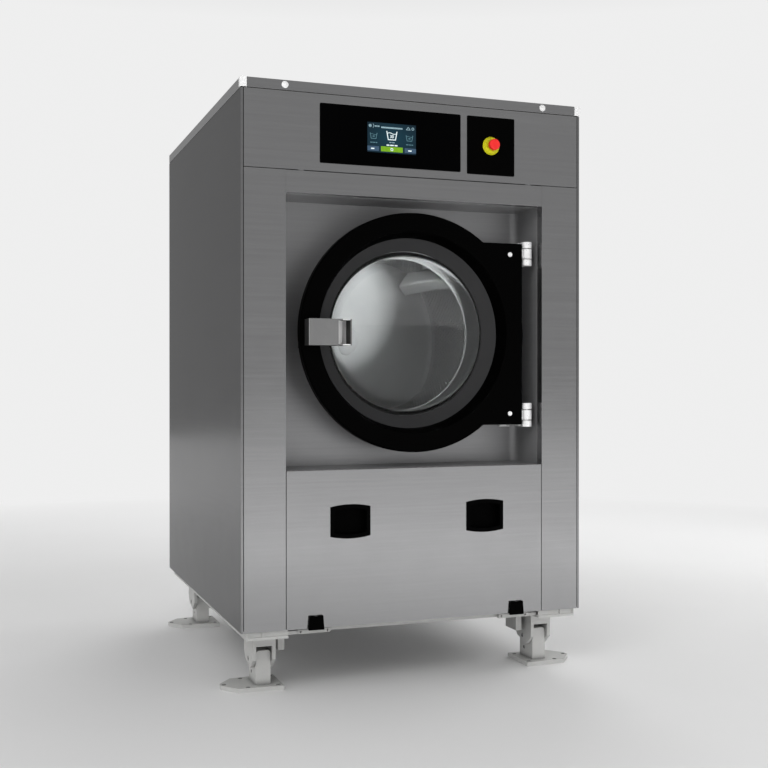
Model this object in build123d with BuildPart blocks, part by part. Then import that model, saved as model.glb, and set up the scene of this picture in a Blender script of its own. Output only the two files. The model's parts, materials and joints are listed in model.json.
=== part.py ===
from build123d import *
from math import cos, radians, sin, sqrt
import os

# Front-loading washer-extractor bolted to the floor on four feet.
# Millimetres. +X is right, the front faces -Y, +Z is up and the floor is Z = 0.
# The origin is the centre of the anchor pattern on the floor.
# A depth is a distance behind the cabinet's front face.

# Clearances shared by all pieces
sheet = 2.0             # casing sheet
seam = 1.6              # open joint between neighbouring sheets
seat_gap = 0.3          # air between a piece and the piece that carries it
running_gap = 0.05      # radial clearance of a turning fit
overrun = 5.0           # how far a cut runs past the face it opens

# Cabinet: it stacks up from the drum and spreads out from the door ring
leg_height = 154.0
drum_height = 702.0     # drum axis above the cabinet bottom
recess_below = 36.0     # recess between the door ring and its floor
recess_above = 29.5
recess_beside = 41.0
header_height = 52.0
fascia_height = 183.5
cover_height = 25.0
column_width = 99.8
side_fold = 5.6         # front fold of a side panel
rear_room = 79.0        # from the back of the drum pulley to the cabinet back
side_back_fold = 20.0
column_return = 25.0    # inward return of a column beside the recess
column_outer_return = 20.0
fascia_pad_x = 290.0       # spacer pads that seat the fascia on the header strip
fascia_pad_width = 14.0
recess_back_gap = 6.0      # recess back to the tub front
recess_round = 22.0
cover_tongue = 22.0     # part of a side panel that stands inside the cover
tongue_inset = 2.5

# Feet
foot_inner_x = 323.5    # inner edge of a foot plate from the middle plane
foot_front_depth = 113.0
foot_pitch_y = 748.0
foot_plate_thickness = 10.5
foot_plate_length = 143.0
foot_plate_half = 57.5
foot_shoulder_length = 110.0
foot_shoulder_half = 50.4
foot_nose_half = 9.0
anchor_hole_radius = 6.0
anchor_outer_inset = 134.0
anchor_mid_inset = 85.0
anchor_mid_half = 43.5
anchor_inner_inset = 11.0
anchor_inner_half = 42.0
upright_inset = 27.5
upright_width = 36.0
upright_front = 31.0
upright_back = 41.0
upright_height = 92.0
upright_round = 8.0
fork_gap = 1.5          # between the upright and each cheek
fork_cheek = 8.5
fork_front = 42.0
fork_back = 48.0
fork_web_height = 31.0
fork_top = 8.0
fork_ear_share = 0.8       # ear over the pin, in pin radii
fork_dip_share = 0.36      # where the lower edge dips, of the front length
fork_dip_drop_share = 3.0
fork_heel_share = 0.75
fork_nose_share = 1.12
fork_nose_rise_share = 2.8
fork_pin_radius = 6.0
fork_pin_back = 7.5
fork_pin_height = 67.0
lock_pin_radius = 4.0
lock_pin_back = 16.5
lock_pin_height = 33.0
pin_recess = 2.0

# Base frame
rail_drop = 19.2        # rail bottom below the cabinet bottom
rail_height = 60.0
rail_width = 40.0
rail_wall = 3.0
rail_cap_inset = 4.0       # closing plate set in from the rail's front end
rail_outer_x = 428.0
strip_drop = 12.7       # top of the corner plates below the cabinet bottom
strip_inner_x = 328.0
strip_length = 175.0
cross_rail_depths = (47.0, 240.0, 505.0, 770.0)
last_rail_gap = 30.0    # from the last cross rail's middle to the cabinet back
jack_width = 16.0
jack_length = 60.0
jack_height = 56.0
jack_depth = 100.0
tab_half_width = 40.0
tab_thickness = 10.0
tab_drop = 14.0
tab_front_depth = 14.0
tab_hole_radius = 2.4
tab_hole_inset = 7.0       # from the tab's end
tab_hole_depth = 8.0
link_front_depth = 16.0
link_thickness = 8.0
motor_plate_thickness = 8.0

# Tub
tub_radius = 375.0      # inside
tub_wall = 3.0
tub_front_depth = 151.0
tub_front_thickness = 4.0
tub_length = 639.0
tub_back_thickness = 10.0
tub_rib_height = 14.0
tub_rib_thickness = 6.0
tub_rib_count = 8
collar_radius = 250.0   # inside
collar_wall = 3.0
collar_front_depth = 50.0
lip_depth = 118.0
lip_radius = 214.0
gasket_inner = 212.0
gasket_outer = 242.0
gasket_front_depth = 96.6
gasket_bead = 4.0
bracket_x = (270.0, 350.0)
bracket_thickness = 8.0
drain_stub_radius = 38.0
drain_stub_depth = 330.0
drain_stub_drop = 46.0   # below the tub
vent_radius = 25.0
vent_x = -285.0
vent_rise = 170.0       # vent pipe above the drum axis
vent_reach = 22.0       # past the cabinet back
pipe_wall = 3.0

# Bearing housing and drum
housing_flange_radius = 140.0
housing_flange = 15.0
housing_root_radius = 95.0
housing_nose_radius = 70.0
housing_nose_length = 145.0     # ahead of the tub back
housing_boss_radius = 80.0
housing_boss_length = 47.0      # behind the tub back's outer face
housing_bore = 45.0
front_bearing_radius = 58.0
rear_bearing_radius = 52.0
bearing_width = 30.0
seal_width = 10.0
shaft_radius = 35.0
shaft_flange_radius = 85.0
shaft_flange = 12.0
shaft_stub = 9.0        # shaft behind the pulley
drum_clearance = 28.0      # drum inside to tub inside
drum_wall = 2.5
drum_front_gap = 20.5   # from the tub front to the drum
drum_rear_gap = 25.0    # from the drum rim to the tub back
drum_mouth_radius = 205.0
drum_bead = 5.0
cone_wall = 5.0
cone_rim_inset = 11.0      # cone rim in from the drum wall
hub_radius = 90.0
cone_height = 162.0
hub_cap_radius = 45.0
hub_cap_step_share = 0.6
hub_cap_shoulder_share = 0.9
hub_cap_crown_share = 0.45
hub_cap_proud = 10.0
lifter_angles = (35.0, 155.0, 275.0)
lifter_base = 90.0
lifter_top = 36.0
lifter_height = 70.0
lifter_front_gap = 14.5
lifter_rear_gap = 43.0
lifter_gap = 0.2

# Drive
pulley_radius = 270.0
pulley_width = 46.0
pulley_rim = 12.0
pulley_web = 8.0
pulley_hub_radius = 60.0
pulley_gap = 8.0        # from the bearing housing to the pulley
pulley_spoke_holes = 6
pulley_hole_radius = 55.0
pulley_hole_pitch = 160.0
belt_thickness = 6.0
belt_width = 38.0
motor_x = 170.0
motor_rise = 97.2       # motor axis above its mounting plate
motor_radius = 94.0
motor_length = 300.0
motor_pulley_gap = 10.0
motor_cavity_radius = 66.0
motor_end_wall = 24.0
motor_foot_width = 150.0
motor_foot_thickness = 10.0
motor_fin_height = 6.0
motor_fin_width = 4.0
motor_fin_count = 24
rotor_radius = 63.0
rotor_shaft_radius = 19.0
rotor_margin = 14.0
motor_pulley_radius = 52.0

# Heaters
heater_radius = 4.25
heater_inset = 13.0        # middle of the elements from the tub wall
heater_rear_gap = 100.0
heater_pair_angles = (-10.5, 0.0, 10.5)
heater_half_angle = 2.4
heater_terminal = 28.0
heater_hole_gap = 0.3
heater_flange_width = 190.0
heater_flange_height = 30.0
heater_flange_share = 1 / 3     # part of the flange below the middle leg
heater_flange_thickness = 3.5

# Door
ring_outer = 294.0
ring_front_depth = 22.0
ring_thickness = 24.0
ring_edge = 4.0
hub_outer = 244.0
hub_inner = 236.0
ring_mouth = 247.5         # bore at the front face, coned back to the hub
ring_mouth_depth = 60.0
hub_back_depth = 96.0
bezel_front_depth = 61.0
bezel_back_depth = 85.0
bezel_mouth = 235.0
glass_edge = 205.0
glass_flange = 234.0
glass_thickness = 6.0
glass_shoulder_radius = 190.0
glass_shoulder_depth = 140.0
glass_apex_depth = 186.0
clamp_inner = 208.0
clamp_thickness = 3.4
flange_right_x = 290.0
flange_half_height = 229.0
hinge_x = 307.5
hinge_depth = 34.0
hinge_half_pitch = 205.0
knuckle_radius = 14.3
knuckle_height = 15.6
mid_knuckle_height = 24.0
knuckle_gap = 2.4
hinge_pin_radius = 5.0
hinge_leaf_thickness = 12.0
hinge_post_left = 13.0      # post edges from the hinge axis
hinge_post_right = 5.0
hinge_post_front_depth = 49.5
hinge_foot_left = 24.0
hinge_foot_lap = 4.0       # foot past the post at each end
hinge_foot_thickness = 6.0
door_screw_x = 256.0
door_screw_half_pitch = 201.0
door_screw_radius = 6.0
door_screw_height = 3.0
door_screw_round_share = 0.7

# Handle and latch
handle_left_x = -283.0
handle_right_x = -179.0
handle_drop = 3.25      # handle centre below the drum axis
handle_height = 62.5
handle_front_depth = -20.0
handle_wall = 3.0
handle_floor_depth = 14.0
lever_right_x = -212.0
lever_thickness = 3.0
lever_lip_x = -197.0
lever_lip_depth = -2.0
lever_pin_depth = 4.0       # pin centre behind the back of the plate
lever_barrel_radius = 4.4
lever_ear_radius = 3.4
lever_pin_radius = 1.6
latch_x = -267.5
latch_width = 6.0
latch_height = 16.0
latch_front_depth = 26.0
latch_back_depth = 104.0
latch_slot_width = 20.0
latch_slot_height = 24.0
latch_pin_radius = 3.0
latch_pin_bury = 4.0
latch_notch = 5.0
lock_width = 19.5
lock_height = 70.0
lock_front_depth = 60.0
lock_back_depth = 112.0
lock_shift = 3.25       # lock centre right of the tongue at rest
lock_foot_width = 8.5
lock_cavity_width = 15.5
lock_cavity_height = 30.0
lock_cavity_depth = 107.0

# Controls
display_left_x = -252.0
display_right_x = 109.5
display_bottom = 21.0     # heights of the controls are above the fascia's bottom
display_top = 162.5
plate_proud = 2.0
plate_round = 3.0
screen_left_x = -133.6
screen_right_x = -9.0
screen_bottom = 55.0
screen_top = 126.5
screen_inset = 0.4
screen_gap = 0.2
module_margin = 10.0
module_depth = 30.0
estop_plate_left_x = 127.6
estop_plate_right_x = 256.6
estop_plate_bottom = 18.5
estop_x = 191.9
estop_height = 90.8
estop_hole_radius = 11.3
estop_sleeve_radius = 11.0
estop_sleeve_length = 14.0
estop_collar_radius = 22.8
estop_collar_face_radius = 19.0
estop_collar_height = 7.0
estop_bore_radius = 8.3
estop_stem_radius = 8.0
estop_stem_back = 18.0
estop_stem_front = 15.0
estop_spigot_radius = 5.0
estop_spigot_length = 6.0
estop_head_radius = 13.8
estop_head_height = 11.5
estop_head_round = 3.5
estop_block_size = 34.0
estop_block_back = 56.0
estop_block_cavity = 26.0
cap_width = 14.0
cap_thickness = 1.6
dome_x = 336.5
dome_rise = 14.3        # above the bottom of the cover band
dome_radius = 8.5
dome_proud = 3.5

# Service panel
panel_return = 20.0
panel_side_gap = 1.8
panel_pivot_radius = 3.0
panel_pivot_gap = 0.2
panel_pivot_depth = 14.0
panel_pivot_drop = 9.0
grip_x = 176.0
grip_half_width = 50.0
grip_bottom = 213.5
grip_top = 284.0
grip_bulge = 5.5
grip_rim = 7.0
grip_pocket = 25.0
grip_wall = 2.0
catch_x = 262.0
catch_top_width = 33.0
catch_bottom_width = 38.0
catch_top = 30.5
catch_drop = 3.0
catch_thickness = 7.0
catch_pin_radius = 2.0
catch_round = 3.3
catch_lug_width = 8.0
catch_slot_gap = 0.5

# Rear and services
rear_opening_x = 300.0
rear_opening_rise = 61.0     # above the cabinet bottom
rear_opening_drop = 275.0    # below the cabinet top
guard_lap = 18.0
guard_thickness = 2.0
louvre_width = 180.0
louvre_height = 5.0
louvre_pitch = 30.0
louvre_rows = 14
louvre_proud = 6.0
louvre_x = 130.0
louvre_rise = 205.0     # first louvre above the opening's foot
box_x = (150.0, 400.0)
box_depth = 351.0
box_drops = (204.0, 44.0)   # heights at the rear are below the cabinet top
box_wall = 2.0
switch_x = 330.0
switch_drop = 110.0
switch_plate_radius = 30.0
switch_plate_thickness = 4.0
switch_bore_radius = 6.3
switch_stem_radius = 6.0
knob_radius = 22.0
knob_thickness = 8.0
knob_grip_width = 10.0
knob_grip_height = 14.0
knob_grip_share = 0.9      # grip length, of the knob
gland_x = 215.0
gland_drop = 140.0
gland_radius = 20.0
gland_bore_radius = 11.0
gland_reach = 26.0
gland_flange_radius = 27.0
gland_flange_thickness = 6.0
valve_xs = (-230.0, -160.0, -90.0)
valve_drop = 110.0
valve_body_radius = 21.0
valve_body_length = 62.0
valve_port_radius = 13.2
valve_port_bore = 8.0
valve_port_reach = 18.0
valve_nut_radius = 18.0
valve_nut_thickness = 6.0
manifold_radius = 14.0
hose_radius = 12.0
hose_wall = 3.0
tray_x = (-300.0, -60.0)
tray_depths = (80.0, 330.0)
tray_drop = 144.0
tray_wall = 2.0
tray_flange = 12.0
tray_spout_x = -180.0
tray_spout_depth = 215.0
spout_bore_share = 1.2     # how far up the bore runs, of the tub radius
tray_spout_radius = 28.0
lid_lap = 9.0
lid_thickness = 6.0
lid_hinge_radius = 3.5
lid_pin_radius = 1.6
lid_tab_width = 30.0
valve_ball_radius = 34.0
valve_ball_bore = 24.0
valve_ball_gap = 0.4
valve_body_outer = 46.0
valve_body_height = 100.0
valve_stem_radius = 7.0
valve_stem_reach = 26.0
actuator_size = 60.0
actuator_lap_share = 0.8   # where the actuator starts, of the body radius
drain_bend = 70.0
drain_reach = 45.0      # outlet past the cabinet back
spigot_lead = 5.0       # where a spigot starts past the cabinet back
spigot_step = 1.0       # a spigot is this much larger in radius than its pipe

# Derived places
base_z = leg_height
recess_depth = tub_front_depth - recess_back_gap
drum_radius = tub_radius - drum_clearance
cone_rim_radius = drum_radius - cone_rim_inset
heater_pitch_radius = tub_radius - heater_inset
axis_z = base_z + drum_height
recess_z = axis_z - ring_outer - recess_below
header_z = axis_z + ring_outer + recess_above
fascia_z = header_z + header_height
cover_z = fascia_z + fascia_height
top_z = cover_z + cover_height
recess_half = ring_outer + recess_beside
column_outer = recess_half + column_width
half_width = column_outer + seam + side_fold
tub_back_depth = tub_front_depth + tub_length
tub_back_face = tub_back_depth + tub_back_thickness
housing_nose_depth = tub_back_depth - housing_nose_length
housing_back_depth = tub_back_face + housing_boss_length + housing_flange
drum_front_depth = tub_front_depth + tub_front_thickness + drum_front_gap
drum_rim_depth = tub_back_depth - drum_rear_gap
hub_depth = drum_rim_depth - cone_height
lifter_front_depth = drum_front_depth + lifter_front_gap
lifter_back_depth = drum_rim_depth - lifter_rear_gap
pulley_front_depth = housing_back_depth + pulley_gap
pulley_back = pulley_front_depth + pulley_width
pulley_mid = (pulley_front_depth + pulley_back) / 2
shaft_back_depth = pulley_back + shaft_stub
heater_back_depth = tub_back_depth - heater_rear_gap
motor_back_depth = pulley_front_depth - motor_pulley_gap
motor_front_depth = motor_back_depth - motor_length
cabinet_depth = pulley_back + rear_room
front_y = -(foot_front_depth + foot_pitch_y / 2)
back_y = front_y + cabinet_depth
rail_bottom = base_z - rail_drop
rail_top = rail_bottom + rail_height
rail_inner_x = rail_outer_x - rail_width
drum_axis = Axis((0, 0, axis_z), (0, 1, 0))
handle_z = axis_z - handle_drop
flange_tub = tub_radius + tub_wall
foot_stations = [
    (side, front_y + foot_front_depth + step * foot_pitch_y)
    for side in (-1, 1)
    for step in (0, 1)
]
plate_face = -plate_proud
rear_opening_z = (base_z + rear_opening_rise, top_z - rear_opening_drop)
box_heights = [top_z - drop for drop in box_drops]
motor_height = rail_top + motor_plate_thickness + motor_rise
switch_height = top_z - switch_drop
gland_height = top_z - gland_drop
valve_height = top_z - valve_drop
tray_bottom = top_z - tray_drop
drain_stub_bottom = axis_z - flange_tub - drain_stub_drop
hinge_rows = [axis_z - hinge_half_pitch, axis_z + hinge_half_pitch]


def at(depth):
    """World Y of a depth behind the cabinet's front face."""
    return front_y + depth


def across(depth):
    """Upright plane at a depth: local x is X, local y is Z, its normal faces the viewer."""
    return Plane.XZ.offset(-at(depth))


def slab(xs, ys, zs, mode=Mode.ADD):
    """Box between two limits on each axis."""
    x0, x1 = sorted(xs)
    y0, y1 = sorted(ys)
    z0, z1 = sorted(zs)
    with Locations(((x0 + x1) / 2, (y0 + y1) / 2, (z0 + z1) / 2)):
        Box(x1 - x0, y1 - y0, z1 - z0, mode=mode)


def rod(start, end, radius, mode=Mode.ADD):
    """Straight round bar between two points."""
    line = Vector(*end) - Vector(*start)
    with Locations(Plane(origin=start, z_dir=line).location):
        Cylinder(radius, line.length, align=(Align.CENTER, Align.CENTER, Align.MIN), mode=mode)


def bar_back(x, z, depths, radius, mode=Mode.ADD):
    """Round bar that runs front to back."""
    rod((x, at(depths[0]), z), (x, at(depths[1]), z), radius, mode)


def ring_back(depths, inner, outer, mode=Mode.ADD):
    """Plain ring about the drum axis."""
    turned([(depths[0], inner), (depths[0], outer), (depths[1], outer), (depths[1], inner)], mode)


def turned(points, mode=Mode.ADD):
    """Solid of revolution about the drum axis, from (depth, radius) points."""
    with BuildSketch(Plane.YZ) as profile:
        Polygon(*[(at(depth), axis_z + radius) for depth, radius in points], align=None)
    revolve(profile.sketch, axis=drum_axis, mode=mode)


def cap_point(rim, rise):
    """Point halfway out on a spherical cap: its radius and its height over the rim."""
    sphere = (rim**2 + rise**2) / (2 * rise)
    return rim / 2, rise - sphere + sqrt(sphere**2 - rim**2 / 4)


# Base frame: two long rails, cross rails, corner plates, jacking blocks, catch tabs, motor plate
with BuildPart() as base_frame:
    for side in (-1, 1):
        rail_x = (side * rail_inner_x, side * rail_outer_x)
        tube_x = (side * (rail_inner_x + rail_wall), side * (rail_outer_x - rail_wall))
        slab(rail_x, (at(sheet + seat_gap), back_y - sheet * 2 - seat_gap), (rail_bottom, rail_top))
        tube_z = (rail_bottom + rail_wall, rail_top - rail_wall)
        cap_front = at(sheet + seat_gap) + rail_cap_inset
        slab(tube_x, (front_y - overrun, back_y + overrun), tube_z, Mode.SUBTRACT)
        slab(tube_x, (cap_front, cap_front + rail_wall), tube_z)
        slab((side * strip_inner_x, side * rail_inner_x), (cap_front, cap_front + rail_wall),
             (base_z - strip_drop, base_z - seat_gap))
    for depth in (*cross_rail_depths, cabinet_depth - last_rail_gap):
        near, far = at(depth - rail_width / 2), at(depth + rail_width / 2)
        slab((-rail_inner_x, rail_inner_x), (near, far), (base_z - strip_drop, rail_top))
        slab((-rail_inner_x, rail_inner_x), (near + rail_wall, far - rail_wall),
             (base_z - strip_drop + rail_wall, rail_top - rail_wall), Mode.SUBTRACT)
    for side, y in foot_stations:
        strip_front = y - foot_front_depth + sheet + seat_gap
        slab((side * strip_inner_x, side * rail_outer_x), (strip_front, strip_front + strip_length),
             (rail_bottom, base_z - strip_drop))
        jack_front = y - foot_front_depth + jack_depth
        slab((side * strip_inner_x, side * (strip_inner_x - jack_width)),
             (jack_front, jack_front + jack_length), (base_z - strip_drop - jack_height,
                                                      base_z - strip_drop))
    tab_back = at(cross_rail_depths[0] - rail_width / 2) - seat_gap
    for side in (-1, 1):
        slab((side * (catch_x - tab_half_width), side * (catch_x + tab_half_width)),
             (at(tab_front_depth), tab_back), (base_z - tab_drop, base_z - tab_drop + tab_thickness))
        slab((side * (catch_x + tab_half_width), side * (strip_inner_x - seat_gap)),
             (at(link_front_depth), tab_back), (base_z - tab_drop, base_z - tab_drop + link_thickness))
        for shift in (-1, 1):
            bar_back(side * catch_x + shift * (tab_half_width - tab_hole_inset),
                     base_z - tab_drop + tab_thickness / 2,
                     (tab_front_depth - overrun, tab_front_depth + tab_hole_depth),
                     tab_hole_radius, Mode.SUBTRACT)
    slab((motor_x - motor_foot_width / 2 - rail_wall, motor_x + motor_foot_width / 2 + rail_wall),
         (at(cross_rail_depths[2]), at(cross_rail_depths[3])), (rail_top, rail_top + motor_plate_thickness))

# Foot plates: pointed plates with five anchor holes, each carrying a bent upright
with BuildPart() as foot_plates:
    for side, y in foot_stations:
        outline = [
            (foot_inner_x, -foot_plate_half),
            (foot_inner_x + foot_shoulder_length, -foot_shoulder_half),
            (foot_inner_x + foot_plate_length, -foot_nose_half),
            (foot_inner_x + foot_plate_length, foot_nose_half),
            (foot_inner_x + foot_shoulder_length, foot_shoulder_half),
            (foot_inner_x, foot_plate_half),
        ]
        anchor_places = [
            (anchor_outer_inset, 0),
            (anchor_mid_inset, -anchor_mid_half),
            (anchor_mid_inset, anchor_mid_half),
            (anchor_inner_inset, -anchor_inner_half),
            (anchor_inner_inset, anchor_inner_half),
        ]
        with BuildSketch():
            Polygon(*[(side * x, y + v) for x, v in outline], align=None)
            with Locations(*[(side * (foot_inner_x + x), y + v) for x, v in anchor_places]):
                Circle(anchor_hole_radius, mode=Mode.SUBTRACT)
        extrude(amount=foot_plate_thickness)
        upright_x = side * (foot_inner_x + upright_inset + upright_width / 2)
        with BuildSketch(Plane.XZ.offset(-(y + upright_back))):
            with Locations((upright_x, (upright_height + foot_plate_thickness / 2) / 2)):
                RectangleRounded(upright_width, upright_height - foot_plate_thickness / 2, upright_round)
            with Locations((upright_x, foot_plate_thickness / 2 + upright_round)):
                Rectangle(upright_width, upright_round * 2)
        extrude(amount=upright_front + upright_back)
        for height, back, radius in (
            (fork_pin_height, fork_pin_back, fork_pin_radius),
            (lock_pin_height, lock_pin_back, lock_pin_radius),
        ):
            rod((upright_x - upright_width, y + back, height),
                (upright_x + upright_width, y + back, height),
                radius + running_gap, Mode.SUBTRACT)

# Foot forks: inverted channels that straddle the uprights
fork_inner = upright_width / 2 + fork_gap
fork_outer = fork_inner + fork_cheek
with BuildPart() as foot_forks:
    for side, y in foot_stations:
        fork_x = side * (foot_inner_x + upright_inset + upright_width / 2)
        fork_z = rail_bottom
        cheek = [
            (-fork_front, fork_z),
            (-fork_front, fork_pin_height + fork_pin_radius * fork_ear_share),
            (-fork_front * fork_dip_share, fork_pin_height - fork_pin_radius * fork_dip_drop_share),
            (fork_back * fork_heel_share, fork_pin_height - fork_pin_radius * fork_ear_share),
            (fork_back * fork_nose_share, fork_pin_height + fork_pin_radius * fork_nose_rise_share),
            (fork_back, fork_z - fork_web_height),
            (fork_back, fork_z),
        ]
        for edge in (-1, 1):
            with BuildSketch(Plane.YZ.offset(fork_x + edge * (fork_inner + fork_cheek / 2))):
                Polygon(*[(y + v, z) for v, z in cheek], align=None)
            extrude(amount=fork_cheek / 2, both=True)
        slab((fork_x - fork_outer, fork_x + fork_outer), (y - fork_front, y + fork_back),
             (fork_z - fork_top, fork_z))
        slab((fork_x - fork_outer, fork_x + fork_outer), (y - fork_front, y - fork_front + fork_top),
             (fork_z - fork_web_height, fork_z))
        rod((fork_x - fork_outer - overrun, y + fork_pin_back, fork_pin_height),
            (fork_x + fork_outer + overrun, y + fork_pin_back, fork_pin_height),
            fork_pin_radius + running_gap, Mode.SUBTRACT)

# Foot pins: one through each fork and upright, one locking pin below it
with BuildPart() as foot_pins:
    for side, y in foot_stations:
        pin_x = side * (foot_inner_x + upright_inset + upright_width / 2)
        for height, back, radius, half_length in (
            (fork_pin_height, fork_pin_back, fork_pin_radius, fork_outer - pin_recess),
            (lock_pin_height, lock_pin_back, lock_pin_radius, upright_width / 2 - pin_recess),
        ):
            rod((pin_x - half_length, y + back, height), (pin_x + half_length, y + back, height), radius)


def side_panel_solid(side):
    """Side casing with its front and back folds, bottom fold and tongue inside the cover."""
    outer = side * half_width
    skin = side * (half_width - sheet)
    slab((outer, skin), (front_y, back_y), (base_z, cover_z))
    slab((outer, side * (half_width - side_fold)), (front_y, at(sheet)), (base_z, cover_z))
    slab((outer, side * (half_width - side_back_fold)), (back_y - sheet, back_y), (base_z, cover_z))
    slab((outer, side * (rail_outer_x + seat_gap)), (at(column_outer_return + seam), back_y),
         (base_z, base_z + sheet))
    inner = side * (half_width - sheet - tongue_inset)
    slab((skin, inner), (at(sheet * 2), back_y - sheet * 2),
         (cover_z - cover_tongue, cover_z - cover_tongue + sheet))
    slab((inner, inner + side * sheet), (at(sheet * 2), back_y - sheet * 2),
         (cover_z - cover_tongue, top_z - sheet))


with BuildPart() as side_panel_left:
    side_panel_solid(-1)

with BuildPart() as side_panel_right:
    side_panel_solid(1)

# Top cover: shallow pan with an opening for the dispenser
with BuildPart() as top_cover:
    slab((-half_width, half_width), (front_y, back_y), (cover_z + seam, top_z))
    slab((-half_width + sheet, half_width - sheet), (front_y + sheet, back_y - sheet),
         (cover_z - overrun, top_z - sheet), Mode.SUBTRACT)
    slab(tray_x, (at(tray_depths[0]), at(tray_depths[1])), (cover_z, top_z + overrun), Mode.SUBTRACT)

# White corner caps and domed fixings on the front band of the cover
with BuildPart() as cover_caps:
    for side in (-1, 1):
        slab((side * (half_width - cap_width), side * (half_width + cap_thickness)),
             (at(-cap_thickness), front_y), (cover_z + seam, top_z))
        slab((side * half_width, side * (half_width + cap_thickness)),
             (front_y, at(cap_width)), (cover_z + seam, top_z))
        with BuildSketch(Plane.YZ.offset(side * dome_x)):
            with BuildLine():
                dome_z = cover_z + dome_rise
                dome_mid = cap_point(dome_radius, dome_proud)
                Line((front_y, dome_z), (at(-dome_proud), dome_z))
                ThreePointArc((at(-dome_proud), dome_z), (at(-dome_mid[1]), dome_z + dome_mid[0]),
                              (front_y, dome_z + dome_radius))
                Line((front_y, dome_z + dome_radius), (front_y, dome_z))
            make_face()
        revolve(axis=Axis((side * dome_x, front_y, dome_z), (0, 1, 0)))

# Front columns beside the recess, with the pivot holes of the service panel
with BuildPart() as front_columns:
    for side in (-1, 1):
        column_z = (base_z, fascia_z)
        slab((side * recess_half, side * column_outer), (front_y, at(sheet)), column_z)
        slab((side * recess_half, side * (recess_half + sheet)), (front_y, at(column_return)), column_z)
        slab((side * (column_outer - sheet), side * column_outer), (front_y, at(column_outer_return)),
             column_z)
        pivot_z = recess_z - panel_pivot_drop
        rod((side * (recess_half - overrun), at(panel_pivot_depth), pivot_z),
            (side * (recess_half + sheet + overrun), at(panel_pivot_depth), pivot_z),
            panel_pivot_radius + panel_pivot_gap, Mode.SUBTRACT)

# Header strip above the recess
with BuildPart() as header_strip:
    strip_half = recess_half - seat_gap
    slab((-strip_half, strip_half), (front_y, at(sheet)), (header_z, fascia_z - seat_gap))
    slab((-strip_half, strip_half), (front_y, at(column_return)), (header_z, header_z + sheet))
    slab((-strip_half, strip_half), (front_y, at(column_outer_return)),
         (fascia_z - seat_gap - sheet, fascia_z - seat_gap))

# Control fascia with windows for the screen and the stop button
screen_x = (screen_left_x, screen_right_x)
screen_z = (fascia_z + screen_bottom, fascia_z + screen_top)
estop_z = fascia_z + estop_height
with BuildPart() as control_fascia:
    slab((-column_outer, column_outer), (front_y, at(sheet)), (fascia_z + seam, cover_z))
    for side in (-1, 1):
        slab((side * (column_outer - sheet), side * column_outer), (front_y, at(column_outer_return)),
             (fascia_z + seam, cover_z))
    slab((-column_outer, column_outer), (front_y, at(column_outer_return)),
         (fascia_z + seam, fascia_z + seam + sheet))
    for side in (-1, 1):
        slab((side * fascia_pad_x, side * (fascia_pad_x + fascia_pad_width)),
             (at(sheet), at(column_outer_return)), (fascia_z, fascia_z + seam))
    slab((screen_left_x - screen_gap, screen_right_x + screen_gap),
         (front_y - overrun, at(sheet + overrun)),
         (screen_z[0] - screen_gap, screen_z[1] + screen_gap), Mode.SUBTRACT)
    bar_back(estop_x, estop_z, (-overrun, sheet + overrun), estop_hole_radius, Mode.SUBTRACT)

# Black glass around the screen
with BuildPart() as display_glass:
    with BuildSketch(across(0)):
        with Locations(((display_left_x + display_right_x) / 2,
                        fascia_z + (display_bottom + display_top) / 2)):
            RectangleRounded(display_right_x - display_left_x, display_top - display_bottom, plate_round)
        with Locations(((screen_left_x + screen_right_x) / 2, fascia_z + (screen_bottom + screen_top) / 2)):
            Rectangle(screen_right_x - screen_left_x + screen_gap * 2,
                      screen_top - screen_bottom + screen_gap * 2,
                      mode=Mode.SUBTRACT)
    extrude(amount=plate_proud)

# Touch screen with its board housing behind the fascia
with BuildPart() as display_module:
    slab(screen_x, (at(plate_face + screen_inset), at(sheet)), screen_z)
    slab((screen_left_x - module_margin, screen_right_x + module_margin), (at(sheet), at(module_depth)),
         (screen_z[0] - module_margin, screen_z[1] + module_margin))

# Emergency stop: plate, collar with sleeve, contact block, stem and head
with BuildPart() as estop_plate:
    with BuildSketch(across(0)):
        with Locations(((estop_plate_left_x + estop_plate_right_x) / 2,
                        fascia_z + (estop_plate_bottom + display_top) / 2)):
            RectangleRounded(estop_plate_right_x - estop_plate_left_x, display_top - estop_plate_bottom,
                             plate_round)
        with Locations((estop_x, estop_z)):
            Circle(estop_hole_radius, mode=Mode.SUBTRACT)
    extrude(amount=plate_proud)

collar_face = plate_face - estop_collar_height
with BuildPart() as estop_collar:
    with Locations(Plane((estop_x, at(plate_face), estop_z), z_dir=(0, -1, 0)).location):
        Cone(estop_collar_radius, estop_collar_face_radius, estop_collar_height,
             align=(Align.CENTER, Align.CENTER, Align.MIN))
    bar_back(estop_x, estop_z, (plate_face - seat_gap, estop_sleeve_length), estop_sleeve_radius)
    bar_back(estop_x, estop_z, (collar_face - overrun, estop_sleeve_length + overrun), estop_bore_radius,
             Mode.SUBTRACT)

with BuildPart() as estop_block:
    slab((estop_x - estop_block_size / 2, estop_x + estop_block_size / 2),
         (at(estop_sleeve_length), at(estop_block_back)),
         (estop_z - estop_block_size / 2, estop_z + estop_block_size / 2))
    bar_back(estop_x, estop_z, (estop_sleeve_length - overrun, estop_block_cavity), estop_bore_radius,
             Mode.SUBTRACT)

with BuildPart() as estop_stem:
    bar_back(estop_x, estop_z, (-estop_stem_front, estop_stem_back), estop_stem_radius)
    bar_back(estop_x, estop_z, (-estop_stem_front - estop_spigot_length, 0), estop_spigot_radius)

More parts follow.
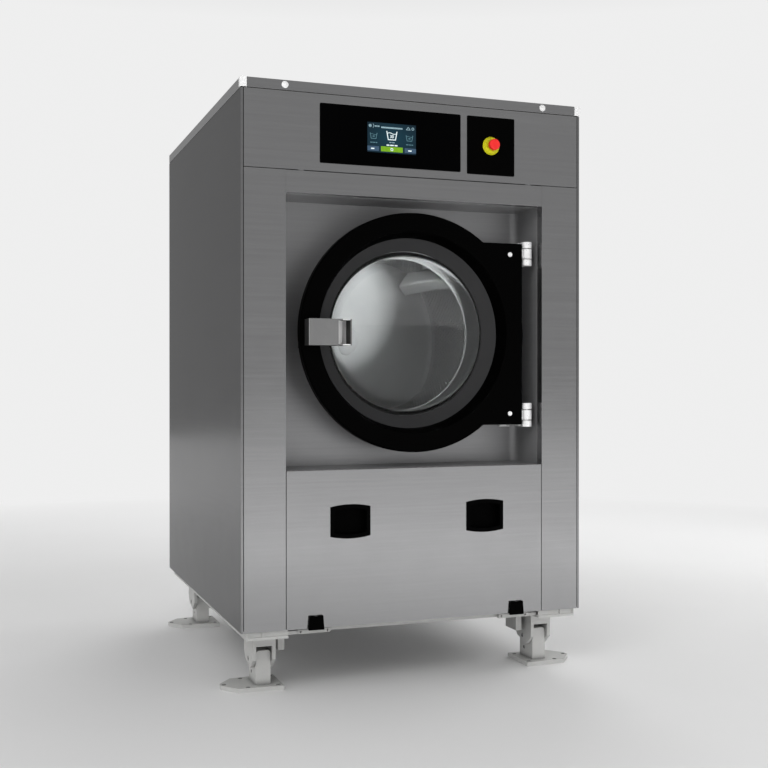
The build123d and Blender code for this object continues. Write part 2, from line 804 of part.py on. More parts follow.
with BuildPart() as estop_head:
    head_back = -estop_stem_front - seat_gap
    bar_back(estop_x, estop_z, (head_back - estop_head_height, head_back), estop_head_radius)
    fillet(estop_head.edges().group_by(Axis.Y)[0], estop_head_round)
    bar_back(estop_x, estop_z, (head_back - estop_spigot_length, head_back + overrun),
             estop_spigot_radius + seat_gap, Mode.SUBTRACT)

# Recess panel: deep tray around the door with rounded inner edges and a hole for the tub collar
recess_inner_z = (recess_z + seat_gap, header_z - seat_gap)
with BuildPart() as recess_hollow:
    slab((-recess_half, recess_half), (front_y - overrun, at(recess_depth)), recess_inner_z)
    fillet(recess_hollow.edges().filter_by(Axis.Z).group_by(Axis.Y)[-1], recess_round)

with BuildPart() as recess_panel:
    slab((-recess_half - sheet, recess_half + sheet),
         (at(column_return + seat_gap), at(recess_depth + sheet)),
         (recess_inner_z[0] - sheet, recess_inner_z[1] + sheet))
    fillet(recess_panel.edges().filter_by(Axis.Z).group_by(Axis.Y)[-1], recess_round + sheet)
    add(recess_hollow.part, mode=Mode.SUBTRACT)
    bar_back(0, axis_z, (0, recess_depth + overrun * 2), collar_radius + collar_wall + seat_gap,
             Mode.SUBTRACT)

# Service panel below the recess: pan with pivot studs at the top and a lug behind each catch
panel_half = recess_half - panel_side_gap
panel_z = (base_z + seat_gap, recess_z - seat_gap)
catch_pin_z = base_z + catch_top - catch_round
catch_pin_front = seat_gap + catch_round
catch_pin_reach = catch_top_width / 3
with BuildPart() as service_panel:
    slab((-panel_half, panel_half), (front_y, at(sheet)), panel_z)
    slab((-panel_half, panel_half), (front_y, at(panel_return)), (panel_z[1] - sheet, panel_z[1]))
    for side in (-1, 1):
        slab((side * panel_half, side * (panel_half - sheet)), (front_y, at(panel_return)), panel_z)
        rod((side * (panel_half - sheet), at(panel_pivot_depth), recess_z - panel_pivot_drop),
            (side * (recess_half + sheet), at(panel_pivot_depth),
             recess_z - panel_pivot_drop), panel_pivot_radius)
        with BuildSketch(across(0)):
            with BuildLine():
                grip_z = (base_z + grip_bottom + grip_rim, base_z + grip_top - grip_rim)
                left = side * grip_x - grip_half_width + grip_rim
                right = side * grip_x + grip_half_width - grip_rim
                ThreePointArc((left, grip_z[1]), (side * grip_x, grip_z[1] + grip_bulge),
                              (right, grip_z[1]))
                Line((right, grip_z[1]), (right, grip_z[0]))
                ThreePointArc((right, grip_z[0]), (side * grip_x, grip_z[0] - grip_bulge),
                              (left, grip_z[0]))
                Line((left, grip_z[0]), (left, grip_z[1]))
            make_face()
        extrude(amount=-sheet, mode=Mode.SUBTRACT)
        lug_x = (side * catch_x - catch_lug_width / 2, side * catch_x + catch_lug_width / 2)
        slab(lug_x, (at(-catch_pin_front), front_y),
             (catch_pin_z - catch_pin_radius, catch_pin_z + catch_pin_radius))
        rod((side * catch_x - catch_pin_reach, at(-catch_pin_front), catch_pin_z),
            (side * catch_x + catch_pin_reach, at(-catch_pin_front), catch_pin_z), catch_pin_radius)


def barrel_outline(x, inset):
    """Face of a grip: straight sides, top and bottom bowed outwards, drawn in by an inset."""
    low, high = base_z + grip_bottom + inset, base_z + grip_top - inset
    left, right = x - grip_half_width + inset, x + grip_half_width - inset
    with BuildSketch(across(0)) as barrel:
        with BuildLine():
            ThreePointArc((left, high), (x, high + grip_bulge), (right, high))
            Line((right, high), (right, low))
            ThreePointArc((right, low), (x, low - grip_bulge), (left, low))
            Line((left, low), (left, high))
        make_face()
    return barrel.sketch


# Recessed grips of the service panel
with BuildPart() as panel_grips:
    for side in (-1, 1):
        extrude(barrel_outline(side * grip_x, 0), amount=plate_proud)
        extrude(barrel_outline(side * grip_x, grip_rim + seat_gap), amount=-grip_pocket)
    for side in (-1, 1):
        mouth = barrel_outline(side * grip_x, grip_rim + seat_gap + grip_wall)
        extrude(mouth, amount=-(grip_pocket - grip_wall), mode=Mode.SUBTRACT)
        extrude(mouth, amount=plate_proud + overrun, mode=Mode.SUBTRACT)


def catch_solid(side):
    """Wedge-shaped catch whose rounded top turns on the pin of its lug."""
    top, bottom = base_z + catch_top, base_z - catch_drop
    middle = side * catch_x
    with BuildSketch(across(-seat_gap)) as catch_face:
        Polygon((middle - catch_top_width / 2, top), (middle + catch_top_width / 2, top),
                (middle + catch_bottom_width / 2, bottom), (middle - catch_bottom_width / 2,
                                                            bottom), align=None)
    catch = extrude(catch_face.sketch, amount=catch_thickness)
    fillet(catch.edges().filter_by(Axis.X).group_by(Axis.Z)[-1], catch_round)
    slot_half = catch_lug_width / 2 + catch_slot_gap
    slab((middle - slot_half, middle + slot_half),
         (at(-catch_pin_front - catch_pin_radius - catch_slot_gap), at(overrun)),
         (catch_pin_z - catch_pin_radius * 3, top + overrun), Mode.SUBTRACT)
    rod((middle - catch_pin_reach - seat_gap, at(-catch_pin_front), catch_pin_z),
        (middle + catch_pin_reach + seat_gap, at(-catch_pin_front), catch_pin_z),
        catch_pin_radius + running_gap, Mode.SUBTRACT)


with BuildPart() as catch_left:
    catch_solid(-1)

with BuildPart() as catch_right:
    catch_solid(1)

# Tub: shell, stepped front with collar and lip, ribbed back with vent pipe
with BuildPart() as tub_shell:
    ring_back((tub_front_depth + tub_front_thickness, tub_back_depth), tub_radius, flange_tub)
    rod((0, at(drain_stub_depth), drain_stub_bottom),
        (0, at(drain_stub_depth), axis_z - tub_radius + overrun),
        drain_stub_radius)
    rod((0, at(drain_stub_depth), drain_stub_bottom - overrun),
        (0, at(drain_stub_depth), axis_z - tub_radius / 2),
        drain_stub_radius - pipe_wall, Mode.SUBTRACT)
    bar_back(0, axis_z, (tub_front_depth, tub_back_depth), tub_radius, Mode.SUBTRACT)
    rod((tray_spout_x, at(tray_spout_depth), axis_z + tub_radius / 2),
        (tray_spout_x, at(tray_spout_depth),
         axis_z + tub_radius * spout_bore_share), tray_spout_radius - pipe_wall, Mode.SUBTRACT)

heater_angles = [mid + edge * heater_half_angle for mid in heater_pair_angles for edge in (-1, 1)]


def heater_place(angle):
    """X and Z of a heater leg, from an angle about the drum axis measured from straight down."""
    return (heater_pitch_radius * sin(radians(angle)), axis_z - heater_pitch_radius * cos(radians(angle)))


heater_z = axis_z - heater_pitch_radius
with BuildPart() as tub_front:
    ring_back((tub_front_depth, tub_front_depth + tub_front_thickness), collar_radius, flange_tub)
    ring_back((collar_front_depth, tub_front_depth + tub_front_thickness), collar_radius,
              collar_radius + collar_wall)
    ring_back((lip_depth, lip_depth + collar_wall), lip_radius, collar_radius + collar_wall)
    for angle in heater_angles:
        leg_x, leg_z = heater_place(angle)
        bar_back(leg_x, leg_z, (tub_front_depth - overrun, tub_front_depth + tub_front_thickness + overrun),
                 heater_radius + heater_hole_gap, Mode.SUBTRACT)

with BuildPart() as tub_back:
    ring_back((tub_back_depth, tub_back_depth + tub_back_thickness), housing_root_radius + seat_gap,
              flange_tub)
    for turn in range(tub_rib_count):
        rib_angle = 360 * (turn + 1 / 2) / tub_rib_count
        rib_start, rib_end = housing_flange_radius + seat_gap, flange_tub - tub_rib_height
        rib_plane = Plane((0, at(tub_back_face), axis_z),
                          x_dir=(cos(radians(rib_angle)), 0, sin(radians(rib_angle))),
                          z_dir=(0, 1, 0))
        with BuildSketch(rib_plane):
            with Locations(((rib_start + rib_end) / 2, 0)):
                Rectangle(rib_end - rib_start, tub_rib_thickness)
        extrude(amount=tub_rib_height)
    bar_back(vent_x, axis_z + vent_rise, (tub_back_depth, cabinet_depth + vent_reach),
             vent_radius - spigot_step)
    bar_back(vent_x, axis_z + vent_rise, (cabinet_depth + spigot_lead, cabinet_depth + vent_reach),
             vent_radius)
    bar_back(vent_x, axis_z + vent_rise, (tub_back_depth - overrun, cabinet_depth + vent_reach + overrun),
             vent_radius - spigot_step - pipe_wall, Mode.SUBTRACT)

# Soft mouth gasket: flat ring with a raised bead towards the door
with BuildPart() as door_gasket:
    gasket_mid = (gasket_inner + gasket_outer) / 2
    turned([
        (lip_depth - seat_gap, gasket_inner),
        (lip_depth - seat_gap, gasket_outer),
        (gasket_front_depth + gasket_bead, gasket_outer),
        (gasket_front_depth, gasket_mid + gasket_bead),
        (gasket_front_depth, gasket_mid - gasket_bead),
        (gasket_front_depth + gasket_bead * 2, gasket_inner),
    ])

# Tub brackets: plates that stand on the cross rails and cradle the tub
with BuildPart() as tub_brackets:
    for depth in cross_rail_depths[1:4]:
        for side in (-1, 1):
            slab((side * bracket_x[0], side * bracket_x[1]),
                 (at(depth - bracket_thickness / 2), at(depth + bracket_thickness / 2)), (rail_top, axis_z))
    bar_back(0, axis_z, (0, cabinet_depth), flange_tub, Mode.SUBTRACT)

# Bearing housing, bearings and seal
with BuildPart() as bearing_housing:
    turned([
        (housing_nose_depth, housing_bore),
        (housing_nose_depth, housing_nose_radius),
        (tub_back_depth, housing_root_radius),
        (tub_back_face, housing_root_radius),
        (tub_back_face, housing_flange_radius),
        (tub_back_face + housing_flange, housing_flange_radius),
        (tub_back_face + housing_flange, housing_boss_radius),
        (housing_back_depth, housing_boss_radius),
        (housing_back_depth, housing_bore),
    ])
    ring_back((housing_nose_depth - overrun, housing_nose_depth + seal_width + bearing_width), shaft_radius,
              front_bearing_radius, Mode.SUBTRACT)
    ring_back((housing_back_depth - bearing_width, housing_back_depth + overrun), shaft_radius,
              rear_bearing_radius, Mode.SUBTRACT)

bearing_bore = shaft_radius + running_gap
with BuildPart() as shaft_bearings:
    front_bearing = housing_nose_depth + seal_width
    ring_back((front_bearing, front_bearing + bearing_width), bearing_bore, front_bearing_radius)
    ring_back((housing_back_depth - bearing_width, housing_back_depth), bearing_bore, rear_bearing_radius)

with BuildPart() as shaft_seal:
    ring_back((housing_nose_depth, housing_nose_depth + seal_width - seat_gap), shaft_radius + seat_gap,
              front_bearing_radius - seat_gap)

# Drum: shell with rolled mouth, coned back, lifters, hub cap and shaft
drum_outer = drum_radius + drum_wall
with BuildPart() as drum_shell:
    ring_back((drum_front_depth, drum_rim_depth), drum_radius, drum_outer)
    ring_back((drum_front_depth, drum_front_depth + drum_wall), drum_mouth_radius, drum_outer)
    ring_back((drum_front_depth, drum_front_depth + drum_bead * 2), drum_mouth_radius,
              drum_mouth_radius + drum_bead)

with BuildPart() as drum_back:
    turned([
        (drum_rim_depth, drum_outer),
        (drum_rim_depth, cone_rim_radius),
        (hub_depth, hub_radius),
        (hub_depth, shaft_radius / 2),
        (hub_depth + cone_wall, shaft_radius / 2),
        (hub_depth + cone_wall, hub_radius - cone_wall / 2),
        (drum_rim_depth + cone_wall, cone_rim_radius - cone_wall / 2),
        (drum_rim_depth + cone_wall, drum_outer),
    ])

with BuildPart() as drum_bore:
    bar_back(0, axis_z, (lifter_front_depth, lifter_back_depth), drum_radius - lifter_gap)

with BuildPart() as drum_lifters:
    for angle in lifter_angles:
        out = (cos(radians(angle)), 0, sin(radians(angle)))
        foot_plane = Plane((0, at(lifter_front_depth), axis_z), x_dir=out, z_dir=(0, -1, 0))
        crest = drum_radius - lifter_height
        with BuildSketch(foot_plane):
            Polygon((drum_radius, -lifter_base / 2), (drum_radius, lifter_base / 2),
                    (crest, lifter_top / 2), (crest, -lifter_top / 2), align=None)
        extrude(amount=-(lifter_back_depth - lifter_front_depth))
    fillet(drum_lifters.edges().filter_by(Axis.Y).filter_by(
        lambda edge: Vector(edge.center().X, 0, edge.center().Z - axis_z).length < crest + lifter_top),
        lifter_top / 4)
    add(drum_bore.part, mode=Mode.INTERSECT)

with BuildPart() as hub_cap:
    turned([
        (hub_depth, 0),
        (hub_depth, hub_cap_radius),
        (hub_depth - hub_cap_proud * hub_cap_step_share, hub_cap_radius * hub_cap_shoulder_share),
        (hub_depth - hub_cap_proud, hub_cap_radius * hub_cap_crown_share),
        (hub_depth - hub_cap_proud, 0),
    ])

with BuildPart() as drum_shaft:
    flange_back = hub_depth + cone_wall + shaft_flange
    turned([
        (hub_depth + cone_wall, 0),
        (hub_depth + cone_wall, shaft_flange_radius),
        (flange_back, shaft_flange_radius - cone_wall),
        (flange_back, shaft_radius),
        (shaft_back_depth, shaft_radius),
        (shaft_back_depth, 0),
    ])

with BuildPart() as drum_pulley:
    ring_back((pulley_front_depth, pulley_back), pulley_radius - pulley_rim, pulley_radius)
    ring_back((pulley_mid - pulley_web / 2, pulley_mid + pulley_web / 2), shaft_radius + running_gap,
              pulley_radius - pulley_rim)
    ring_back((pulley_front_depth, pulley_back), shaft_radius + running_gap, pulley_hub_radius)
    for turn in range(pulley_spoke_holes):
        spoke = radians(360 * turn / pulley_spoke_holes)
        bar_back(pulley_hole_pitch * cos(spoke), axis_z + pulley_hole_pitch * sin(spoke),
                 (pulley_front_depth, pulley_back), pulley_hole_radius, Mode.SUBTRACT)


def belt_loop(drum_end, motor_end):
    """Outline of a loop stretched round the two pulley axes."""
    with BuildSketch(across(pulley_mid + belt_width / 2)) as loop:
        with Locations((0, axis_z)):
            Circle(drum_end)
        with Locations((motor_x, motor_height)):
            Circle(motor_end)
        make_hull()
    return loop.sketch


with BuildPart() as drive_belt:
    belt_inner = (pulley_radius + seat_gap, motor_pulley_radius + seat_gap)
    extrude(belt_loop(belt_inner[0] + belt_thickness, belt_inner[1] + belt_thickness), amount=belt_width)
    extrude(belt_loop(*belt_inner), amount=belt_width, mode=Mode.SUBTRACT)

# Motor: finned body with feet, rotor with shaft and pulley
with BuildPart() as motor:
    bar_back(motor_x, motor_height, (motor_front_depth, motor_back_depth), motor_radius - motor_fin_height)
    for turn in range(motor_fin_count):
        fin_angle = radians(360 * turn / motor_fin_count)
        fin_plane = Plane((motor_x, at(motor_front_depth + motor_end_wall), motor_height),
                          x_dir=(cos(fin_angle), 0, sin(fin_angle)), z_dir=(0, 1, 0))
        with BuildSketch(fin_plane):
            with Locations((motor_radius - motor_fin_height, 0)):
                Rectangle(motor_fin_height * 2, motor_fin_width)
        extrude(amount=motor_back_depth - motor_front_depth - motor_end_wall * 2)
    slab((motor_x - motor_foot_width / 2, motor_x + motor_foot_width / 2),
         (at(motor_front_depth + motor_end_wall * 2), at(motor_back_depth - motor_end_wall * 4)),
         (rail_top + motor_plate_thickness, rail_top + motor_plate_thickness + motor_foot_thickness))
    slab((motor_x - motor_foot_width / 4, motor_x + motor_foot_width / 4),
         (at(motor_front_depth + motor_end_wall * 2), at(motor_back_depth - motor_end_wall * 4)),
         (rail_top + motor_plate_thickness, motor_height - motor_cavity_radius - motor_fin_height))
    bar_back(motor_x, motor_height, (motor_front_depth + motor_end_wall, motor_back_depth - motor_end_wall),
             motor_cavity_radius, Mode.SUBTRACT)
    bar_back(motor_x, motor_height, (motor_front_depth + motor_end_wall / 2, motor_back_depth + overrun),
             rotor_shaft_radius + running_gap, Mode.SUBTRACT)

with BuildPart() as motor_rotor:
    bar_back(motor_x, motor_height, (motor_front_depth + motor_end_wall / 2 + seat_gap, pulley_back),
             rotor_shaft_radius)
    bar_back(motor_x, motor_height,
             (motor_front_depth + motor_end_wall + rotor_margin,
              motor_back_depth - motor_end_wall - rotor_margin),
             rotor_radius)
    bar_back(motor_x, motor_height, (pulley_front_depth, pulley_back), motor_pulley_radius)

# Heating elements: three hairpins on a flange plate below the collar
with BuildPart() as heating_elements:
    slab((-heater_flange_width / 2, heater_flange_width / 2),
         (at(tub_front_depth - heater_flange_thickness), at(tub_front_depth)),
         (heater_z - heater_flange_height * heater_flange_share,
          heater_z + heater_flange_height * (1 - heater_flange_share)))
    for angle in heater_angles:
        leg_x, leg_z = heater_place(angle)
        bar_back(leg_x, leg_z, (tub_front_depth - heater_terminal, heater_back_depth), heater_radius)
    for mid in heater_pair_angles:
        first, second = heater_place(mid - heater_half_angle), heater_place(mid + heater_half_angle)
        bow_start = Vector(first[0], at(heater_back_depth), first[1])
        bow_end = Vector(second[0], at(heater_back_depth), second[1])
        bow_mid = (bow_start + bow_end) / 2 + Vector(0, (bow_end - bow_start).length / 2, 0)
        with BuildLine() as bow:
            ThreePointArc(bow_start, bow_mid, bow_end)
        with BuildSketch(Plane(bow_start, z_dir=(0, 1, 0))) as bow_section:
            Circle(heater_radius)
        sweep(bow_section.sketch, path=bow.line)

# Door ring: flat black ring with its hub and the hinge flange at the right
ring_back_depth = ring_front_depth + ring_thickness
with BuildPart() as door_ring:
    turned([
        (ring_front_depth, ring_mouth),
        (ring_front_depth, ring_outer - ring_edge),
        (ring_front_depth + ring_edge, ring_outer),
        (ring_back_depth, ring_outer),
        (ring_back_depth, hub_outer),
        (hub_back_depth, hub_outer),
        (hub_back_depth, hub_inner),
        (ring_mouth_depth, hub_inner),
    ])
    slab((0, flange_right_x), (at(ring_front_depth), at(ring_back_depth)),
         (axis_z - flange_half_height, axis_z + flange_half_height))
    turned([
        (ring_front_depth - overrun, 0),
        (ring_front_depth - overrun, ring_mouth),
        (ring_front_depth, ring_mouth),
        (ring_mouth_depth, hub_inner),
        (ring_mouth_depth, 0),
    ], Mode.SUBTRACT)
    slab((latch_x - latch_slot_width / 2, latch_x + latch_slot_width / 2),
         (at(ring_front_depth - overrun), at(ring_back_depth + overrun)),
         (handle_z - latch_slot_height / 2, handle_z + latch_slot_height / 2), Mode.SUBTRACT)
    pin_reach = latch_slot_height / 2 + latch_pin_bury
    pin_y = at(ring_front_depth + ring_thickness / 2)
    rod((latch_x, pin_y, handle_z - pin_reach - seat_gap),
        (latch_x, pin_y, handle_z + pin_reach + seat_gap),
        latch_pin_radius + running_gap, Mode.SUBTRACT)

# Conical bezel inside the ring
with BuildPart() as door_bezel:
    turned([
        (bezel_front_depth, hub_inner - seat_gap),
        (bezel_front_depth, bezel_mouth),
        (bezel_back_depth, glass_edge),
        (bezel_back_depth + seat_gap * 2, hub_inner - seat_gap),
    ])

# Bowl of the door glass and the ring that clamps its flange
glass_front = bezel_back_depth + seat_gap * 3
with BuildPart() as door_glass:
    inner_radius = glass_shoulder_radius - glass_thickness
    inner_depth = glass_shoulder_depth - glass_thickness / 2
    outer_mid = cap_point(glass_shoulder_radius, glass_apex_depth - glass_shoulder_depth)
    inner_mid = cap_point(inner_radius, glass_apex_depth - glass_thickness - inner_depth)
    with BuildSketch(Plane.YZ) as bowl:
        with BuildLine():
            outer_shoulder = (at(glass_shoulder_depth), axis_z + glass_shoulder_radius)
            outer_apex = (at(glass_apex_depth), axis_z)
            inner_shoulder = (at(inner_depth), axis_z + inner_radius)
            inner_apex = (at(glass_apex_depth - glass_thickness), axis_z)
            Line(outer_apex, inner_apex)
            ThreePointArc(outer_apex, (at(glass_shoulder_depth + outer_mid[1]), axis_z + outer_mid[0]),
                          outer_shoulder)
            Polyline(outer_shoulder,
                     (at(glass_front + glass_thickness), axis_z + glass_edge),
                     (at(glass_front + glass_thickness), axis_z + glass_flange),
                     (at(glass_front), axis_z + glass_flange),
                     (at(glass_front), axis_z + glass_edge - glass_thickness),
                     inner_shoulder)
            ThreePointArc(inner_shoulder, (at(inner_depth + inner_mid[1]), axis_z + inner_mid[0]),
                          inner_apex)
        make_face()
    revolve(axis=drum_axis)

with BuildPart() as door_clamp_ring:
    ring_back((hub_back_depth - clamp_thickness, hub_back_depth), clamp_inner, hub_inner - seat_gap)

# Door hinges: moving leaves with the middle knuckles, and the domed screws of the flange
hinge_y = at(hinge_depth)
with BuildPart() as door_hinges:
    for z in hinge_rows:
        low, high = z - mid_knuckle_height / 2, z + mid_knuckle_height / 2
        slab((flange_right_x, hinge_x), (hinge_y - hinge_leaf_thickness / 2,
                                         hinge_y + hinge_leaf_thickness / 2),
             (low, high))
        rod((hinge_x, hinge_y, low), (hinge_x, hinge_y, high), knuckle_radius)
        rod((hinge_x, hinge_y, low - overrun), (hinge_x, hinge_y, high + overrun),
            hinge_pin_radius + running_gap, Mode.SUBTRACT)
    for side in (-1, 1):
        screw_z = axis_z + side * door_screw_half_pitch
        bar_back(door_screw_x, screw_z, (ring_front_depth - door_screw_height, ring_front_depth),
                 door_screw_radius)
    fillet(door_hinges.edges().filter_by(GeomType.CIRCLE).group_by(Axis.Y)[0],
           door_screw_height * door_screw_round_share)

# Hinge brackets: posts on the recess panel with the outer knuckles and the pins
with BuildPart() as hinge_brackets:
    post_x = (hinge_x - hinge_post_left, hinge_x + hinge_post_right)
    foot_x = (hinge_x - hinge_foot_left, hinge_x + hinge_post_right)
    for z in hinge_rows:
        reach = mid_knuckle_height / 2 + knuckle_gap + knuckle_height
        slab(post_x, (at(hinge_post_front_depth), at(recess_depth)), (z - reach, z + reach))
        slab(foot_x, (at(recess_depth - hinge_foot_thickness), at(recess_depth)),
             (z - reach - hinge_foot_lap, z + reach + hinge_foot_lap))
        for side in (-1, 1):
            inner_end = z + side * (mid_knuckle_height / 2 + knuckle_gap)
            outer_end = z + side * reach
            rod((hinge_x, hinge_y, inner_end), (hinge_x, hinge_y, outer_end), knuckle_radius)
            slab((hinge_x - hinge_post_right, hinge_x + hinge_post_right),
                 (hinge_y, at(hinge_post_front_depth)), (inner_end, outer_end))
        rod((hinge_x, hinge_y, z - reach), (hinge_x, hinge_y, z + reach), hinge_pin_radius)

# Handle housing: open tray on the ring, its walls set back where the lever plate covers them
handle_zs = (handle_z - handle_height / 2, handle_z + handle_height / 2)
lever_back_depth = handle_front_depth + lever_thickness
lever_pin_x = handle_left_x + handle_wall + lever_barrel_radius + seat_gap
lever_pin_y = at(lever_back_depth + lever_pin_depth)
ear_outer = handle_height / 2 - handle_wall
ear_inner = ear_outer - handle_wall
with BuildPart() as handle_housing:
    slab((handle_left_x, handle_right_x), (at(handle_front_depth), at(ring_front_depth)), handle_zs)
    slab((handle_left_x + handle_wall, handle_right_x - handle_wall),
         (at(handle_front_depth - overrun), at(handle_floor_depth)),
         (handle_z - ear_outer, handle_z + ear_outer), Mode.SUBTRACT)
    slab((handle_left_x - overrun, lever_right_x + seat_gap),
         (at(handle_front_depth - overrun), at(lever_back_depth + seat_gap)),
         (handle_zs[0] - overrun, handle_zs[1] + overrun), Mode.SUBTRACT)
    slab((handle_left_x - overrun, lever_pin_x), (at(handle_front_depth - overrun), lever_pin_y),
         (handle_zs[0] - overrun, handle_zs[1] + overrun), Mode.SUBTRACT)
    for side in (-1, 1):
        slab((lever_pin_x - lever_ear_radius, lever_pin_x + lever_ear_radius),
             (lever_pin_y, at(handle_floor_depth)),
             (handle_z + side * ear_inner, handle_z + side * ear_outer))
        rod((lever_pin_x, lever_pin_y, handle_z + side * ear_inner),
            (lever_pin_x, lever_pin_y, handle_z + side * ear_outer), lever_ear_radius)
    rod((lever_pin_x, lever_pin_y, handle_z - ear_outer), (lever_pin_x, lever_pin_y, handle_z + ear_outer),
        lever_pin_radius + running_gap, Mode.SUBTRACT)

# Pull lever: front plate with a slanted finger lip, turning on a pin behind its left edge
with BuildPart() as handle_lever:
    with BuildSketch(Plane.XY.offset(handle_zs[0])) as lever_section:
        Polygon((handle_left_x, at(handle_front_depth)), (lever_right_x, at(handle_front_depth)),
                (lever_right_x, at(lever_back_depth)), (handle_left_x, at(lever_back_depth)), align=None)
    extrude(amount=handle_height)
    lip_half = ear_outer - seat_gap * 2
    with BuildSketch(Plane.XY.offset(handle_z - lip_half)) as lip_section:
        Polygon((lever_right_x - lever_thickness, at(handle_front_depth)),
                (lever_right_x, at(handle_front_depth)),
                (lever_lip_x, at(lever_lip_depth)), (lever_lip_x - lever_thickness,
                                                     at(lever_lip_depth)), align=None)
    extrude(amount=lip_half * 2)
    for half, radius in ((ear_inner - seat_gap, lever_barrel_radius),
                         (ear_outer - seat_gap, lever_pin_radius)):
        rod((lever_pin_x, lever_pin_y, handle_z - half), (lever_pin_x, lever_pin_y, handle_z + half),
            radius)

# Latch tongue in the ring's slot, and the lock on the recess panel that takes it
with BuildPart() as latch_tongue:
    slab((latch_x - latch_width / 2, latch_x + latch_width / 2),
         (at(latch_front_depth), at(latch_back_depth)),
         (handle_z - latch_height / 2, handle_z + latch_height / 2))
    slab((latch_x - latch_width, latch_x + latch_width),
         (at(latch_back_depth - latch_notch * 4), at(latch_back_depth - latch_notch * 2)),
         (handle_z - latch_height / 2 - overrun, handle_z - latch_height / 2 + latch_notch), Mode.SUBTRACT)
    rod((latch_x, pin_y, handle_z - pin_reach), (latch_x, pin_y, handle_z + pin_reach), latch_pin_radius)

with BuildPart() as door_lock:
    lock_mid = latch_x + lock_shift
    lock_right = lock_mid + lock_width / 2
    lock_zs = (handle_z - lock_height / 2, handle_z + lock_height / 2)
    slab((lock_right - lock_width, lock_right), (at(lock_front_depth), at(lock_back_depth)), lock_zs)
    slab((lock_right - lock_foot_width, lock_right), (at(lock_back_depth), at(recess_depth)), lock_zs)
    slab((lock_mid - lock_cavity_width / 2, lock_mid + lock_cavity_width / 2),
         (at(lock_front_depth - overrun), at(lock_cavity_depth)),
         (handle_z - lock_cavity_height / 2, handle_z + lock_cavity_height / 2), Mode.SUBTRACT)

# Rear panel with the belt opening and the holes of the rear services
with BuildPart() as rear_panel:
    rear_back = cabinet_depth - sheet
    rear_front = rear_back - sheet
    rear_half = half_width - sheet - seat_gap
    slab((-rear_half, rear_half), (at(rear_front), at(rear_back)), (base_z + sheet + seat_gap, cover_z))
    slab((-rear_opening_x, rear_opening_x), (at(rear_front - overrun), at(rear_back + overrun)),
         (rear_opening_z[0], rear_opening_z[1]), Mode.SUBTRACT)
    bar_back(vent_x, axis_z + vent_rise, (rear_front - overrun, rear_back + overrun),
             vent_radius + seat_gap,
             Mode.SUBTRACT)
    for x in valve_xs:
        bar_back(x, valve_height, (rear_front - overrun, rear_back + overrun), valve_port_radius + seat_gap,
                 Mode.SUBTRACT)
    bar_back(gland_x, gland_height, (rear_front - overrun, rear_back + overrun), gland_radius + seat_gap,
             Mode.SUBTRACT)
    bar_back(switch_x, switch_height, (rear_front - overrun, rear_back + overrun), switch_plate_radius / 2,
             Mode.SUBTRACT)

# Louvred guard over the belt opening, with the vent and drain passing through it
drain_z = drain_stub_bottom - valve_body_height - drain_bend
with BuildPart() as belt_guard:
    slab((-rear_opening_x - guard_lap, rear_opening_x + guard_lap),
         (at(rear_back), at(rear_back + guard_thickness)),
         (rear_opening_z[0] - guard_lap, rear_opening_z[1] + guard_lap))
    for row in range(louvre_rows):
        for side in (-1, 1):
            louvre_z = rear_opening_z[0] + louvre_rise + row * louvre_pitch
            with BuildSketch(Plane.YZ.offset(side * louvre_x - louvre_width / 2)) as louvre:
                Polygon((at(rear_back + guard_thickness / 2), louvre_z + louvre_height * 2),
                        (at(rear_back + guard_thickness / 2), louvre_z),
                        (at(rear_back + guard_thickness + louvre_proud), louvre_z),
                        (at(rear_back + guard_thickness + louvre_proud),
                         louvre_z + guard_thickness), align=None)
            extrude(amount=louvre_width)
            slab((side * louvre_x - louvre_width / 2 + louvre_height,
                  side * louvre_x + louvre_width / 2 - louvre_height),
                 (at(rear_back - overrun),
                  at(rear_back + guard_thickness + louvre_proud - guard_thickness / 2)),
                 (louvre_z - louvre_height / 2, louvre_z + louvre_height / 2), Mode.SUBTRACT)
    bar_back(vent_x, axis_z + vent_rise, (rear_front, rear_back + overrun * 2), vent_radius + seat_gap,
             Mode.SUBTRACT)
    bar_back(0, drain_z, (rear_front, rear_back + overrun * 2), drain_stub_radius + seat_gap, Mode.SUBTRACT)

# Electrical box with the cable gland and the base of the main switch
with BuildPart() as electrical_box:
    box_y = (at(rear_front - box_depth), at(rear_front))
    slab(box_x, box_y, box_heights)
    slab((box_x[0] + box_wall, box_x[1] - box_wall), (box_y[0] + box_wall, box_y[1] - box_wall),
         (box_heights[0] + box_wall, box_heights[1] - box_wall), Mode.SUBTRACT)
    for x, height, radius in ((gland_x, gland_height, gland_radius),
                              (switch_x, switch_height, switch_plate_radius / 2 - seat_gap)):
        bar_back(x, height, (rear_front - box_wall, cabinet_depth), radius)
    bar_back(gland_x, gland_height, (rear_back, rear_back + gland_flange_thickness), gland_flange_radius)
    bar_back(gland_x, gland_height, (rear_back, rear_back + gland_reach), gland_radius)
    bar_back(switch_x, switch_height, (rear_back, rear_back + switch_plate_thickness), switch_plate_radius)
    bar_back(gland_x, gland_height, (rear_front - overrun * 2, rear_back + gland_reach + overrun),
             gland_bore_radius,
             Mode.SUBTRACT)
    bar_back(switch_x, switch_height, (rear_front, rear_back + switch_plate_thickness + overrun),
             switch_bore_radius, Mode.SUBTRACT)

